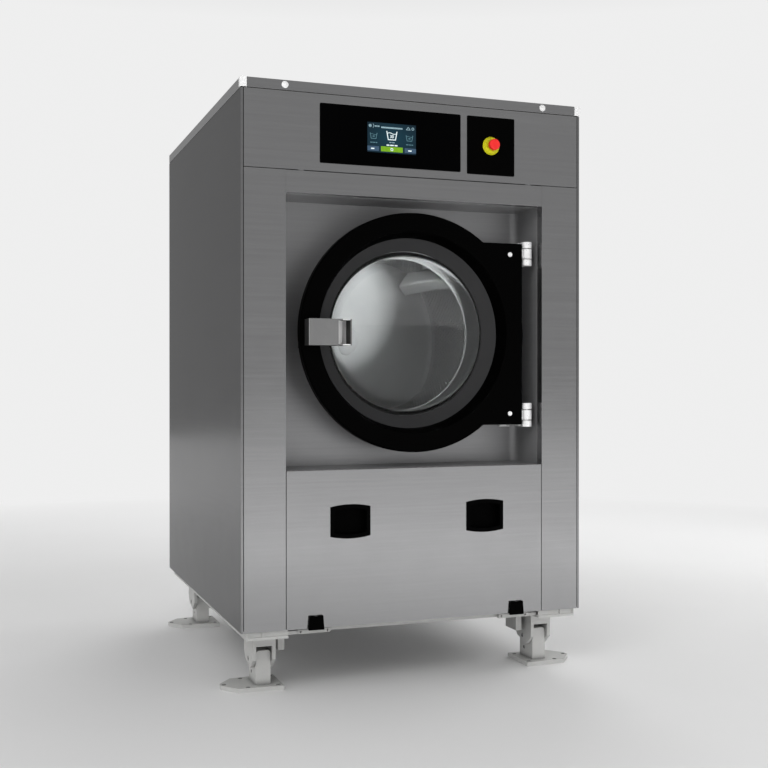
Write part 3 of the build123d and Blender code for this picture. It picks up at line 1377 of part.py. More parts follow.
# Main switch knob: round base with a grip bar
with BuildPart() as switch_knob:
    knob_front = rear_back + switch_plate_thickness + seat_gap
    bar_back(switch_x, switch_height, (rear_front + seat_gap, knob_front), switch_stem_radius)
    bar_back(switch_x, switch_height, (knob_front, knob_front + knob_thickness), knob_radius)
    slab((switch_x - knob_grip_width / 2, switch_x + knob_grip_width / 2),
         (at(knob_front + knob_thickness), at(knob_front + knob_thickness + knob_grip_height)),
         (switch_height - knob_radius * knob_grip_share,
          switch_height + knob_radius * knob_grip_share))

# Inlet valves with their threaded ports, manifold and the hose to the dispenser
with BuildPart() as inlet_valves:
    manifold_depth = rear_front - valve_body_length
    for x in valve_xs:
        bar_back(x, valve_height, (manifold_depth, rear_front), valve_body_radius)
        bar_back(x, valve_height, (rear_front, rear_back + valve_nut_thickness), valve_port_radius)
        bar_back(x, valve_height, (rear_back, rear_back + valve_nut_thickness), valve_nut_radius)
        bar_back(x, valve_height, (rear_back, rear_back + valve_nut_thickness + valve_port_reach),
                 valve_port_radius)
    rod((valve_xs[0], at(manifold_depth), valve_height), (valve_xs[-1], at(manifold_depth), valve_height),
        manifold_radius)
    bar_back(tray_spout_x, valve_height, (tray_depths[1] + seat_gap, manifold_depth), hose_radius)
    for x in valve_xs:
        bar_back(x, valve_height, (manifold_depth,
                                   rear_back + valve_nut_thickness + valve_port_reach + overrun),
                 valve_port_bore, Mode.SUBTRACT)
    bar_back(tray_spout_x, valve_height, (tray_depths[1] - overrun, manifold_depth),
             hose_radius - hose_wall,
             Mode.SUBTRACT)

# Dispenser: three-chamber tray hung in the cover, with its spout down to the tub
with BuildPart() as dispenser_tray:
    tray_y = (at(tray_depths[0]), at(tray_depths[1]))
    inner = (tray_x[0] + seat_gap, tray_x[1] - seat_gap)
    slab(inner, (tray_y[0] + seat_gap, tray_y[1] - seat_gap), (tray_bottom, top_z))
    slab((tray_x[0] - tray_flange, tray_x[1] + tray_flange),
         (tray_y[0] - tray_flange, tray_y[1] + tray_flange),
         (top_z, top_z + tray_wall))
    third = (inner[1] - inner[0] - tray_wall * 4) / 3
    for chamber in range(3):
        start = inner[0] + tray_wall + chamber * (third + tray_wall)
        slab((start, start + third), (tray_y[0] + seat_gap + tray_wall, tray_y[1] - seat_gap - tray_wall),
             (tray_bottom + tray_wall, top_z + overrun), Mode.SUBTRACT)
    spout_foot = axis_z + sqrt(flange_tub**2 - (abs(tray_spout_x) + tray_spout_radius)**2)
    rod((tray_spout_x, at(tray_spout_depth), spout_foot), (tray_spout_x, at(tray_spout_depth), tray_bottom),
        tray_spout_radius)
    rod((tray_spout_x, at(tray_spout_depth), spout_foot - overrun),
        (tray_spout_x, at(tray_spout_depth), tray_bottom + tray_wall + overrun),
        tray_spout_radius - pipe_wall, Mode.SUBTRACT)
    bar_back(0, axis_z, (0, cabinet_depth), flange_tub + seat_gap, Mode.SUBTRACT)
    lid_axis_y = tray_y[1] + lid_lap
    lid_axis_z = top_z + tray_wall + lid_hinge_radius + seat_gap
    for x in tray_x:
        slab((x - lid_tab_width / 2, x + lid_tab_width / 2),
             (lid_axis_y - lid_pin_radius, lid_axis_y + lid_pin_radius),
             (top_z, lid_axis_z))
        rod((x - lid_tab_width / 2, lid_axis_y, lid_axis_z),
            (x + lid_tab_width / 2, lid_axis_y, lid_axis_z),
            lid_hinge_radius)
    rod((tray_x[0], lid_axis_y, lid_axis_z), (tray_x[1], lid_axis_y, lid_axis_z), lid_pin_radius)

with BuildPart() as dispenser_lid:
    lid_z = top_z + tray_wall + seat_gap
    slab((tray_x[0] - lid_lap, tray_x[1] + lid_lap),
         (tray_y[0] - lid_lap, tray_y[1] + lid_lap - lid_hinge_radius * 2),
         (lid_z, lid_z + lid_thickness))
    inner_tab = (tray_x[0] + lid_tab_width, tray_x[1] - lid_tab_width)
    slab(inner_tab, (lid_axis_y - lid_hinge_radius * 3, lid_axis_y), (lid_axis_z, lid_z + lid_thickness))
    rod((inner_tab[0], lid_axis_y, lid_axis_z), (inner_tab[1], lid_axis_y, lid_axis_z), lid_hinge_radius)
    rod((tray_x[0], lid_axis_y, lid_axis_z), (tray_x[1], lid_axis_y, lid_axis_z),
        lid_pin_radius + running_gap,
        Mode.SUBTRACT)

# Drain valve with its actuator, bend and outlet pipe
valve_z = drain_stub_bottom - valve_body_height / 2
drain_y = at(drain_stub_depth)
with BuildPart() as drain_valve:
    rod((0, drain_y, drain_stub_bottom - valve_body_height), (0, drain_y, drain_stub_bottom),
        valve_body_outer)
    slab((valve_body_outer * actuator_lap_share, valve_body_outer + actuator_size),
         (drain_y - actuator_size / 2, drain_y + actuator_size / 2),
         (valve_z - actuator_size / 2, valve_z + actuator_size / 2))
    with BuildLine() as drain_route:
        bend_start = (0, drain_y, drain_stub_bottom - valve_body_height)
        bend_end = (0, drain_y + drain_bend, drain_z)
        bend_mid = (0, drain_y + drain_bend * (1 - sqrt(1 / 2)), drain_z + drain_bend * (1 - sqrt(1 / 2)))
        ThreePointArc(bend_start, bend_mid, bend_end)
        Line(bend_end, (0, at(cabinet_depth + drain_reach), drain_z))
    with BuildSketch(Plane(bend_start, z_dir=(0, 0, -1))) as drain_section:
        Circle(drain_stub_radius - spigot_step)
    sweep(drain_section.sketch, path=drain_route.line)
    bar_back(0, drain_z, (cabinet_depth + spigot_lead, cabinet_depth + drain_reach), drain_stub_radius)
    with BuildSketch(Plane(bend_start, z_dir=(0, 0, -1))) as drain_bore:
        Circle(drain_stub_radius - spigot_step - pipe_wall)
    sweep(drain_bore.sketch, path=drain_route.line, mode=Mode.SUBTRACT)
    rod((0, drain_y, drain_stub_bottom - valve_body_height), (0, drain_y, drain_stub_bottom + overrun),
        valve_ball_bore, Mode.SUBTRACT)
    with Locations((0, drain_y, valve_z)):
        Sphere(valve_ball_radius + valve_ball_gap, mode=Mode.SUBTRACT)
    rod((0, drain_y, valve_z), (valve_body_outer + valve_stem_reach, drain_y, valve_z),
        valve_stem_radius + running_gap, Mode.SUBTRACT)

with BuildPart() as drain_ball:
    with Locations((0, drain_y, valve_z)):
        Sphere(valve_ball_radius)
    rod((0, drain_y, valve_z - valve_body_height), (0, drain_y, valve_z + valve_body_height),
        valve_ball_bore,
        Mode.SUBTRACT)
    rod((valve_ball_bore, drain_y, valve_z), (valve_body_outer + valve_stem_reach - seat_gap, drain_y,
                                              valve_z),
        valve_stem_radius)
    rod((0, drain_y, valve_z - valve_body_height), (0, drain_y, valve_z + valve_body_height),
        valve_ball_bore,
        Mode.SUBTRACT)

pieces = {
    "base_frame": base_frame, "foot_plates": foot_plates, "foot_forks": foot_forks, "foot_pins": foot_pins,
    "side_panel_left": side_panel_left, "side_panel_right": side_panel_right, "top_cover": top_cover,
    "cover_caps": cover_caps, "front_columns": front_columns, "header_strip": header_strip,
    "control_fascia": control_fascia, "display_glass": display_glass, "display_module": display_module,
    "estop_plate": estop_plate, "estop_collar": estop_collar, "estop_block": estop_block,
    "estop_stem": estop_stem, "estop_head": estop_head, "recess_panel": recess_panel,
    "service_panel": service_panel, "panel_grips": panel_grips, "catch_left": catch_left,
    "catch_right": catch_right, "tub_shell": tub_shell, "tub_front": tub_front, "tub_back": tub_back,
    "door_gasket": door_gasket, "tub_brackets": tub_brackets, "bearing_housing": bearing_housing,
    "shaft_bearings": shaft_bearings, "shaft_seal": shaft_seal, "drum_shell": drum_shell,
    "drum_back": drum_back, "drum_lifters": drum_lifters, "hub_cap": hub_cap, "drum_shaft": drum_shaft,
    "drum_pulley": drum_pulley, "drive_belt": drive_belt, "motor": motor, "motor_rotor": motor_rotor,
    "heating_elements": heating_elements, "door_ring": door_ring, "door_bezel": door_bezel,
    "door_glass": door_glass, "door_clamp_ring": door_clamp_ring, "door_hinges": door_hinges,
    "hinge_brackets": hinge_brackets, "handle_housing": handle_housing, "handle_lever": handle_lever,
    "latch_tongue": latch_tongue, "door_lock": door_lock, "rear_panel": rear_panel,
    "belt_guard": belt_guard,
    "electrical_box": electrical_box, "switch_knob": switch_knob, "inlet_valves": inlet_valves,
    "dispenser_tray": dispenser_tray, "dispenser_lid": dispenser_lid, "drain_valve": drain_valve,
    "drain_ball": drain_ball,
}

os.makedirs("parts", exist_ok=True)
for label, piece in pieces.items():
    piece.part.label = label
    export_step(piece.part, f"parts/{label}.step")
    print(label, "written")
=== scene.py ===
import json
import math

import bmesh
import bpy
from mathutils import Matrix, Vector

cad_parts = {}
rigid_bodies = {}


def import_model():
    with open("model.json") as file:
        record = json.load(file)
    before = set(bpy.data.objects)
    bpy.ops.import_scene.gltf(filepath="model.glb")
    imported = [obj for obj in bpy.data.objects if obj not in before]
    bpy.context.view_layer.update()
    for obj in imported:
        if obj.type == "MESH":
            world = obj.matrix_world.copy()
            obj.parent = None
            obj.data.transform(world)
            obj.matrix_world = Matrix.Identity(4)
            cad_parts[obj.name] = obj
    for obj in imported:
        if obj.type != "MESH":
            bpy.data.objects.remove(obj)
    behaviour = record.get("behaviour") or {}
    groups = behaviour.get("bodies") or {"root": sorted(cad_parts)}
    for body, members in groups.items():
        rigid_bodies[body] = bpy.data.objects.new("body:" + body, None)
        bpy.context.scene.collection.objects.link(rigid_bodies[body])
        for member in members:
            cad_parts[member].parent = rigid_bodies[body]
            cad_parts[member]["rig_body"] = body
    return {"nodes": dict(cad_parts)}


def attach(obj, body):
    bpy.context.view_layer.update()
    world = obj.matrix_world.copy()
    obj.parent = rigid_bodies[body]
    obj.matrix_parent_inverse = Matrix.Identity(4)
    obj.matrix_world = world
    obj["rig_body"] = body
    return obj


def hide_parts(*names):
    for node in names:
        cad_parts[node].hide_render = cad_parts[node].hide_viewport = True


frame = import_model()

nodes = frame["nodes"]
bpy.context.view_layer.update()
scene = bpy.context.scene
frontFace = -0.487          # the cabinet's front face along Y
drumAxis = Vector((0, 0, 0.856))
sliver = 0.0001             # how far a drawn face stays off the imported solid's own
weld = 0.000002             # points nearer than this are one
softTurn = 34               # degrees; a sharper bend is shaded as an edge
flatTurn = 0.6              # degrees; faces that turn less are one flat
millimetre = 0.001
print("frame loaded:", len(nodes), "nodes")

# the photograph's own viewpoint
view = {"focal": 1142.06, "frame": 768, "yaw": 19.99, "pitch": -0.19, "at": (-1.0315, -3.0725, 0.7392)}
lens = bpy.data.cameras.new("photoCamera")
lens.sensor_width = 36
lens.lens = view["focal"] / view["frame"] * lens.sensor_width
lens.clip_start, lens.clip_end = 0.05, 200
camera = bpy.data.objects.new("photoCamera", lens)
scene.collection.objects.link(camera)
camera.location = view["at"]
camera.rotation_euler = (math.radians(90 + view["pitch"]), 0, math.radians(-view["yaw"]))
scene.camera = camera
scene.view_settings.view_transform = "Standard"


# node helpers for the finishes

def addNode(tree, kind, inputs=None, **settings):
    node = tree.nodes.new("ShaderNode" + kind)
    for key, value in settings.items():
        setattr(node, key, value)
    for key, value in (inputs or {}).items():
        if isinstance(value, bpy.types.NodeSocket):
            tree.links.new(value, node.inputs[key])
        else:
            node.inputs[key].default_value = value
    return node


def newMaterial(name, shaderValues):
    material = bpy.data.materials.new(name)
    material.use_nodes = True
    tree = material.node_tree
    shader = tree.nodes["Principled BSDF"]
    for key, value in shaderValues.items():
        shader.inputs[key].default_value = value
    return material, tree, shader


def objectPoint(tree):
    return addNode(tree, "TexCoord").outputs["Object"]


def stretched(tree, point, scale):
    return addNode(tree, "Mapping", {"Vector": point, "Scale": scale}).outputs[0]


# scale, detail and roughness of every noise pattern
patterns = {
    "steelFine": (1.0, 4, 0.6), "steelBroad": (1.0, 3, 0.6), "steelCloud": (2.1, 4, 0.55),
    "steelSmudge": (11.0, 5, 0.65), "spunRings": (420.0, 4, 0.6), "spunCloud": (5.0, 4, 0.6),
    "spunStreak": (1.0, 3, 0.5), "paintPeel": (420.0, 3, 0.5), "paintCloud": (3.0, 5, 0.6),
    "paintDust": (24.0, 6, 0.7), "plasticCloud": (14.0, 4, 0.6), "plasticTouch": (60.0, 5, 0.65),
    "rubberGrain": (700.0, 4, 0.6), "rubberBloom": (16.0, 5, 0.65), "castSkin": (260.0, 5, 0.65),
    "castCloud": (9.0, 4, 0.6), "platedSmear": (30.0, 5, 0.6), "glassTouch": (22.0, 5, 0.65),
    "glassHaze": (5.0, 3, 0.5), "doorHaze": (12.0, 4, 0.6), "screenCells": (1.0, 3, 0.5),
    "markUneven": (160.0, 3, 0.5), "floorMottle": (1.4, 4, 0.5), "cardWeave": (0.6, 3, 0.5),
}


def noise(tree, point, pattern, scale=None):
    usual, detail, rough = patterns[pattern]
    return addNode(tree, "TexNoise", {"Vector": point, "Scale": scale or usual, "Detail": detail,
                                      "Roughness": rough}).outputs[0]


def calc(tree, operation, first, second=0.0):
    return addNode(tree, "Math", {0: first, 1: second}, operation=operation).outputs[0]


def weighted(tree, first, second, share):
    # the first value by its share and the second by the rest
    rest = calc(tree, "MULTIPLY", second, 1 - share)
    return calc(tree, "ADD", calc(tree, "MULTIPLY", first, share), rest)


def vectorMath(tree, operation, first, second=(0, 0, 0)):
    return addNode(tree, "VectorMath", {0: first, 1: second}, operation=operation).outputs


def spread(tree, value, low=0.0, high=1.0, fromLow=0.3, fromHigh=0.7):
    return addNode(tree, "MapRange", {0: value, 1: fromLow, 2: fromHigh, 3: low, 4: high}).outputs[0]


def roughAround(tree, value, middle, swing):
    return spread(tree, value, middle - swing, middle + swing)


def mixColour(tree, factor, first, second):
    node = addNode(tree, "Mix", data_type="RGBA")
    for socket, value in ((0, factor), (6, first), (7, second)):
        if isinstance(value, bpy.types.NodeSocket):
            tree.links.new(value, node.inputs[socket])
        else:
            node.inputs[socket].default_value = value
    return node.outputs[2]


def shade(colour, amount):
    return (*(min(1.0, part * amount) for part in colour), 1)


def tinted(tree, factor, colour, dark, light):
    # from a darker to a lighter shade of the colour
    return mixColour(tree, factor, shade(colour, dark), shade(colour, light))


def feed(tree, shader, colour, rough=None):
    tree.links.new(colour, shader.inputs["Base Color"])
    if rough is not None:
        tree.links.new(rough, shader.inputs["Roughness"])


def addBump(tree, shader, height, strength, depth):
    bump = addNode(tree, "Bump", {"Height": height, "Strength": strength, "Distance": depth})
    tree.links.new(bump.outputs[0], shader.inputs["Normal"])


def wornEdge(tree, radius, amount):
    # 0 on flats and the amount where a rounded edge would turn away
    rounded = addNode(tree, "Bevel", {"Radius": radius}, samples=4).outputs[0]
    flat = addNode(tree, "NewGeometry").outputs["Normal"]
    along = vectorMath(tree, "DOT_PRODUCT", rounded, flat)["Value"]
    return calc(tree, "MULTIPLY", spread(tree, along, 1.0, 0.0, fromLow=0.75, fromHigh=0.98), amount)


# finishes

broadShare = 0.2        # the broad streaks of brushed steel are five times the size of the fine ones


def brushedSteel(name, look):
    tint = look.get("edgeTint", 1.0)
    values = {"Metallic": look.get("metal", 1.0), "Specular IOR Level": 0.5,
              "Specular Tint": (tint, tint, tint, 1)}
    material, tree, shader = newMaterial(name, values)
    point = objectPoint(tree)
    coarse = [part * broadShare for part in look["grain"]]
    fine = noise(tree, stretched(tree, point, look["grain"]), "steelFine")
    broad = noise(tree, stretched(tree, point, coarse), "steelBroad")
    grain = weighted(tree, fine, broad, share=0.45)
    tone = weighted(tree, grain, noise(tree, point, "steelCloud"), share=0.7)
    depth = look.get("contrast", 0.06)
    colour = tinted(tree, spread(tree, tone, fromLow=0.35, fromHigh=0.65), look["colour"],
                    dark=1 - depth, light=1 + depth)
    colour = mixColour(tree, wornEdge(tree, radius=0.0012, amount=0.3), colour, shade(look["colour"], 1.5))
    smudge = spread(tree, noise(tree, point, "steelSmudge"), low=-0.02, high=0.02)
    rough = calc(tree, "ADD", roughAround(tree, grain, look["rough"], swing=0.025), smudge)
    feed(tree, shader, colour=colour, rough=rough)
    addBump(tree, shader, grain, strength=look.get("bump", 0.05), depth=0.0003)
    return material


def turnedSteel(name, look):
    # rings left by turning or spinning, round the drum's axis
    material, tree, shader = newMaterial(name, {"Metallic": look["metal"]})
    point = vectorMath(tree, "SUBTRACT", objectPoint(tree), drumAxis)[0]
    radius = vectorMath(tree, "LENGTH", stretched(tree, point, (1, 0, 1)))["Value"]
    ring = addNode(tree, "CombineXYZ", {0: radius, 1: 0.0, 2: 0.0}).outputs[0]
    rings = noise(tree, ring, "spunRings", look["rings"])
    cloud = noise(tree, point, "spunCloud")
    streak = noise(tree, stretched(tree, point, (30, 30, 30)), "spunStreak")
    tone = spread(tree, weighted(tree, rings, cloud, share=0.55), fromLow=0.35, fromHigh=0.65)
    colour = tinted(tree, tone, look["colour"], dark=0.9, light=1.08)
    rough = roughAround(tree, weighted(tree, rings, streak, share=0.5), look["rough"], swing=0.05)
    feed(tree, shader, colour=colour, rough=rough)
    addBump(tree, shader, rings, strength=look.get("bump", 0.06), depth=0.0004)
    return material


def paintedMetal(name, look):
    material, tree, shader = newMaterial(name, {"Specular IOR Level": look.get("shine", 0.5)})
    point = objectPoint(tree)
    dust = noise(tree, point, "paintDust")
    tone = spread(tree, weighted(tree, noise(tree, point, "paintCloud"), dust, share=0.6))
    colour = tinted(tree, tone, look["colour"], dark=0.9, light=1.08)
    edge = wornEdge(tree, radius=0.0015, amount=look.get("wear", 0.35))
    worn = calc(tree, "MULTIPLY", edge, spread(tree, dust, low=0.2))
    colour = mixColour(tree, worn, colour, (*look["worn"], 1))
    if "creviceShade" in look:       # painted shade in holes and slots, darkest where the ambient occlusion is low
        occlusion = addNode(tree, "AmbientOcclusion", {"Distance": look["creviceShade"]}, samples=6, only_local=True)
        unshaded = spread(tree, occlusion.outputs["AO"], fromLow=0.25, fromHigh=0.85)
        colour = mixColour(tree, unshaded, shade(look["colour"], 0.08), colour)
    feed(tree, shader, colour=colour, rough=roughAround(tree, dust, look["rough"], swing=0.06))
    addBump(tree, shader, noise(tree, point, "paintPeel"), strength=0.08, depth=0.0004)
    return material


def between(tree, value, ends):
    return calc(tree, "MULTIPLY", calc(tree, "GREATER_THAN", value, ends[0]),
                calc(tree, "LESS_THAN", value, ends[1]))


def mouldedPlastic(name, look):
    material, tree, shader = newMaterial(name, {"Specular IOR Level": look.get("shine", 0.4)})
    point = objectPoint(tree)
    grain = addNode(tree, "TexVoronoi", {"Vector": point, "Scale": look.get("grain", 900.0)})
    touch = noise(tree, point, "plasticTouch")
    tone = spread(tree, weighted(tree, noise(tree, point, "plasticCloud"), touch, share=0.7))
    colour = tinted(tree, tone, look["colour"], dark=0.92, light=1.07)
    edgeColour = shade([part + look.get("edge", 0.02) for part in look["colour"]], 1.5)
    worn = wornEdge(tree, radius=0.0008, amount=look.get("wear", 0.2))
    colour = mixColour(tree, worn, colour, edgeColour)
    if "lip" in look:       # painted highlight: a pale band beside the finger pocket, between two places along X, on the scoop and the pocket floor
        across = addNode(tree, "SeparateXYZ", {0: point}).outputs[0]
        colour = mixColour(tree, between(tree, across, look["lip"]), colour, (*look["lipHighlight"], 1))
    if "sides" in look:       # faces turned from the front take another colour: the housing's black sides are two-tone paint, the lever's pale sides are painted light
        facing = addNode(tree, "SeparateXYZ", {0: addNode(tree, "TexCoord").outputs["Normal"]}).outputs[1]
        turned = spread(tree, facing, fromLow=-0.75, fromHigh=-0.55)
        colour = mixColour(tree, turned, colour, (*look["sides"], 1))
    feed(tree, shader, colour=colour, rough=roughAround(tree, touch, look["rough"], swing=0.05))
    addBump(tree, shader, grain.outputs["Distance"], strength=look.get("bump", 0.06), depth=0.0003)
    return material


def softRubber(name, look):
    material, tree, shader = newMaterial(name, {"Specular IOR Level": 0.25})
    point = objectPoint(tree)
    bloom = noise(tree, point, "rubberBloom")
    colour = tinted(tree, spread(tree, bloom), look["colour"], dark=0.8, light=1.5)
    feed(tree, shader, colour=colour, rough=spread(tree, bloom, look["rough"] - 0.08, look["rough"] + 0.05))
    addBump(tree, shader, noise(tree, point, "rubberGrain"), strength=0.15, depth=0.0003)
    return material


def roughCasting(name, look):
    material, tree, shader = newMaterial(name, {"Metallic": 0.3, "Specular IOR Level": 0.4})
    point = objectPoint(tree)
    skin = noise(tree, point, "castSkin")
    cloud = spread(tree, noise(tree, point, "castCloud"))
    colour = tinted(tree, cloud, look["colour"], dark=0.8, light=1.2)
    colour = mixColour(tree, wornEdge(tree, radius=0.002, amount=0.4), colour, shade(look["colour"], 2.2))
    feed(tree, shader, colour=colour, rough=roughAround(tree, skin, look["rough"], swing=0.08))
    addBump(tree, shader, skin, strength=0.35, depth=0.0008)
    return material


def platedMetal(name, look):
    # bright plating: chrome, nickel or zinc with its crystal pattern
    material, tree, shader = newMaterial(name, {"Metallic": look.get("metal", 1.0)})
    point = objectPoint(tree)
    crystal = addNode(tree, "TexVoronoi", {"Vector": point, "Scale": look["crystal"]}).outputs["Color"]
    light = addNode(tree, "SeparateColor", {0: crystal}).outputs[0]
    smear = noise(tree, point, "platedSmear")
    tone = weighted(tree, light, smear, share=0.7)
    colour = tinted(tree, tone, look["colour"], dark=1 - look["contrast"], light=1 + look["contrast"])
    low, high = look["rough"] * 0.7, look["rough"] * 1.3
    feed(tree, shader, colour=colour, rough=spread(tree, tone, low, high, fromLow=0.0, fromHigh=1.0))
    addBump(tree, shader, smear, strength=0.05, depth=0.0003)
    return material


def polishedBlack(name, look):
    material, tree, shader = newMaterial(name, {"Specular IOR Level": look["shine"], "IOR": 1.5})
    point = objectPoint(tree)
    haze = spread(tree, noise(tree, point, "glassHaze"))
    colour = tinted(tree, haze, look["colour"], dark=0.7, light=1.4)
    touch = noise(tree, point, "glassTouch")
    feed(tree, shader, colour=colour, rough=spread(tree, touch, look["rough"], look["rough"] + 0.1))
    return material


def clearGlass(name, look):
    material, tree, shader = newMaterial(name, {"Transmission Weight": 1.0, "IOR": look["bend"]})
    haze = noise(tree, objectPoint(tree), "doorHaze")
    colour = tinted(tree, spread(tree, haze), look["colour"], dark=0.985, light=1.0)
    rough = spread(tree, haze, high=look["rough"], fromLow=0.4, fromHigh=0.8)
    feed(tree, shader, colour=colour, rough=rough)
    lampRay = addNode(tree, "LightPath").outputs["Is Shadow Ray"]
    through = addNode(tree, "BsdfTransparent", {"Color": shade(look["colour"], 0.92)}).outputs[0]
    mixed = addNode(tree, "MixShader", {0: lampRay, 1: shader.outputs[0], 2: through})
    tree.links.new(mixed.outputs[0], tree.nodes["Material Output"].inputs["Surface"])
    return material


def litScreen(name, look):
    material, tree, shader = newMaterial(name, {"Roughness": 0.12, "Specular IOR Level": 0.15,
                                                "Emission Strength": look["strength"]})
    point = objectPoint(tree)
    shifted = vectorMath(tree, "SUBTRACT", point, look["centre"])[0]
    away = vectorMath(tree, "LENGTH", stretched(tree, shifted, (9, 0, 13)))["Value"]
    cells = noise(tree, stretched(tree, point, (120, 0, 120)), "screenCells")
    middle, corner = (*look["middle"], 1), (*look["corner"], 1)
    glow = mixColour(tree, spread(tree, away, fromLow=0.1, fromHigh=0.75), middle, corner)
    glow = mixColour(tree, spread(tree, cells, high=0.2), glow, corner)
    tree.links.new(glow, shader.inputs["Emission Color"])
    feed(tree, shader, colour=tinted(tree, cells, look["dark"], dark=1.0, light=2.0))
    return material


def litMark(name, look):
    material, tree, shader = newMaterial(name, {"Roughness": 0.3, "Specular IOR Level": 0.1,
                                                "Emission Strength": look["strength"]})
    uneven = noise(tree, objectPoint(tree), "markUneven")
    glow = tinted(tree, spread(tree, uneven), look["colour"], dark=0.86, light=1.1)
    tree.links.new(glow, shader.inputs["Emission Color"])
    feed(tree, shader, colour=tinted(tree, uneven, look["colour"], dark=0.1, light=0.2))
    return material


# how each finish is made and what it looks like
finishLooks = {
    "frontSteel": (brushedSteel, {"colour": (0.405, 0.405, 0.41), "rough": 0.19, "grain": (14, 14, 900)}),
    # painted shade: the side panels' steel is the front's steel painted darker
    "sideSteel": (brushedSteel, {"colour": (0.33, 0.33, 0.335), "rough": 0.19, "grain": (14, 14, 900),
                                 "edgeTint": 0.5}),
    "topSteel": (brushedSteel, {"colour": (0.38, 0.38, 0.385), "rough": 0.30, "grain": (14, 500, 700)}),
    # painted shade: the recess steel is the front's steel painted about a fifth darker
    "recessSteel": (brushedSteel, {"colour": (0.31, 0.31, 0.315), "rough": 0.38, "grain": (14, 14, 700),
                                   "metal": 0.5}),
    "rearSteel": (brushedSteel, {"colour": (0.34, 0.34, 0.345), "rough": 0.42, "grain": (10, 10, 600)}),
    "tubSteel": (brushedSteel, {"colour": (0.40, 0.40, 0.41), "rough": 0.40, "grain": (60, 60, 60)}),
    "liftersSteel": (brushedSteel, {"colour": (0.72, 0.72, 0.72), "rough": 0.36, "grain": (500, 12, 500),
                                    "metal": 0.4}),
    "machined": (brushedSteel, {"colour": (0.50, 0.50, 0.50), "rough": 0.28, "grain": (300, 300, 300)}),
    "drumWall": (turnedSteel, {"colour": (0.60, 0.60, 0.60), "rough": 0.36, "rings": 500.0, "metal": 0.5}),
    # painted light: the cone's and the hub cap's steel is painted brighter than the drum wall's steel
    "drumCone": (turnedSteel, {"colour": (0.86, 0.86, 0.86), "rough": 0.50, "rings": 420.0, "bump": 0.03,
                               "metal": 0.3}),
    "framePaint": (paintedMetal, {"colour": (0.44, 0.44, 0.43), "rough": 0.5, "worn": (0.62, 0.62, 0.60)}),
    "blackPaint": (paintedMetal, {"colour": (0.0006, 0.0006, 0.0006), "rough": 0.5, "shine": 0.02,
                                  "worn": (0.006, 0.006, 0.006), "wear": 0.3}),
    "motorPaint": (paintedMetal, {"colour": (0.06, 0.075, 0.10), "rough": 0.45, "worn": (0.25, 0.25, 0.25)}),
    # the foot paint carries painted shade in its holes and slots
    "footPaint": (paintedMetal, {"colour": (0.46, 0.46, 0.45), "rough": 0.55, "worn": (0.60, 0.60, 0.58),
                                 "shine": 0.3, "creviceShade": 0.02}),
    "chrome": (platedMetal, {"colour": (0.93, 0.93, 0.93), "rough": 0.16, "crystal": 400.0,
                             "contrast": 0.03}),
    "whitePlating": (platedMetal, {"colour": (0.93, 0.93, 0.93), "rough": 0.34, "crystal": 400.0,
                                   "contrast": 0.03, "metal": 0.3}),
    "brass": (platedMetal, {"colour": (0.62, 0.45, 0.17), "rough": 0.3, "crystal": 250.0, "contrast": 0.08}),
    "blackPlastic": (mouldedPlastic, {"colour": (0.0007, 0.0007, 0.0007), "rough": 0.5, "shine": 0.02,
                                      "edge": 0.004}),
    "bezelPlastic": (mouldedPlastic, {"colour": (0.028, 0.028, 0.029), "rough": 0.5, "shine": 0.25,
                                      "grain": 700.0}),
    # the lip colours of the handle and of the lever are painted highlights
    "handlePlastic": (mouldedPlastic, {"colour": (0.18, 0.18, 0.18), "rough": 0.5, "shine": 0.15,
                                       "sides": (0.03, 0.03, 0.03), "lip": (-0.2012, -0.1825),
                                       "lipHighlight": (0.80, 0.80, 0.80)}),
    # the lever's pale sides are painted light
    "leverPlastic": (mouldedPlastic, {"colour": (0.18, 0.18, 0.18), "rough": 0.5, "shine": 0.2,
                                      "sides": (0.60, 0.60, 0.60), "lip": (-0.2115, -0.17),
                                      "lipHighlight": (0.60, 0.60, 0.60)}),
    "whitePlastic": (mouldedPlastic, {"colour": (0.84, 0.84, 0.84), "rough": 0.28, "shine": 0.5}),
    "yellowPlastic": (mouldedPlastic, {"colour": (0.62, 0.60, 0.012), "rough": 0.35, "shine": 0.3}),
    "redPlastic": (mouldedPlastic, {"colour": (0.85, 0.022, 0.020), "rough": 0.32, "shine": 0.4}),
    "blackGlass": (polishedBlack, {"colour": (0.0006, 0.0006, 0.0007), "rough": 0.08, "shine": 0.02}),
    "doorGlass": (clearGlass, {"colour": (0.97, 0.985, 0.985), "rough": 0.02, "bend": 1.45}),
    "rubber": (softRubber, {"colour": (0.012, 0.012, 0.012), "rough": 0.65}),
    "casting": (roughCasting, {"colour": (0.09, 0.09, 0.10), "rough": 0.55}),
    "screen": (litScreen, {"middle": (0.006, 0.062, 0.095), "corner": (0.002, 0.014, 0.026), "strength": 0.6,
                           "dark": (0.004, 0.006, 0.008), "centre": (-0.0713, frontFace, 1.3222)}),
}
finishes = {name: maker(name, look) for name, (maker, look) in finishLooks.items()}
print("finishes made:", len(finishes))
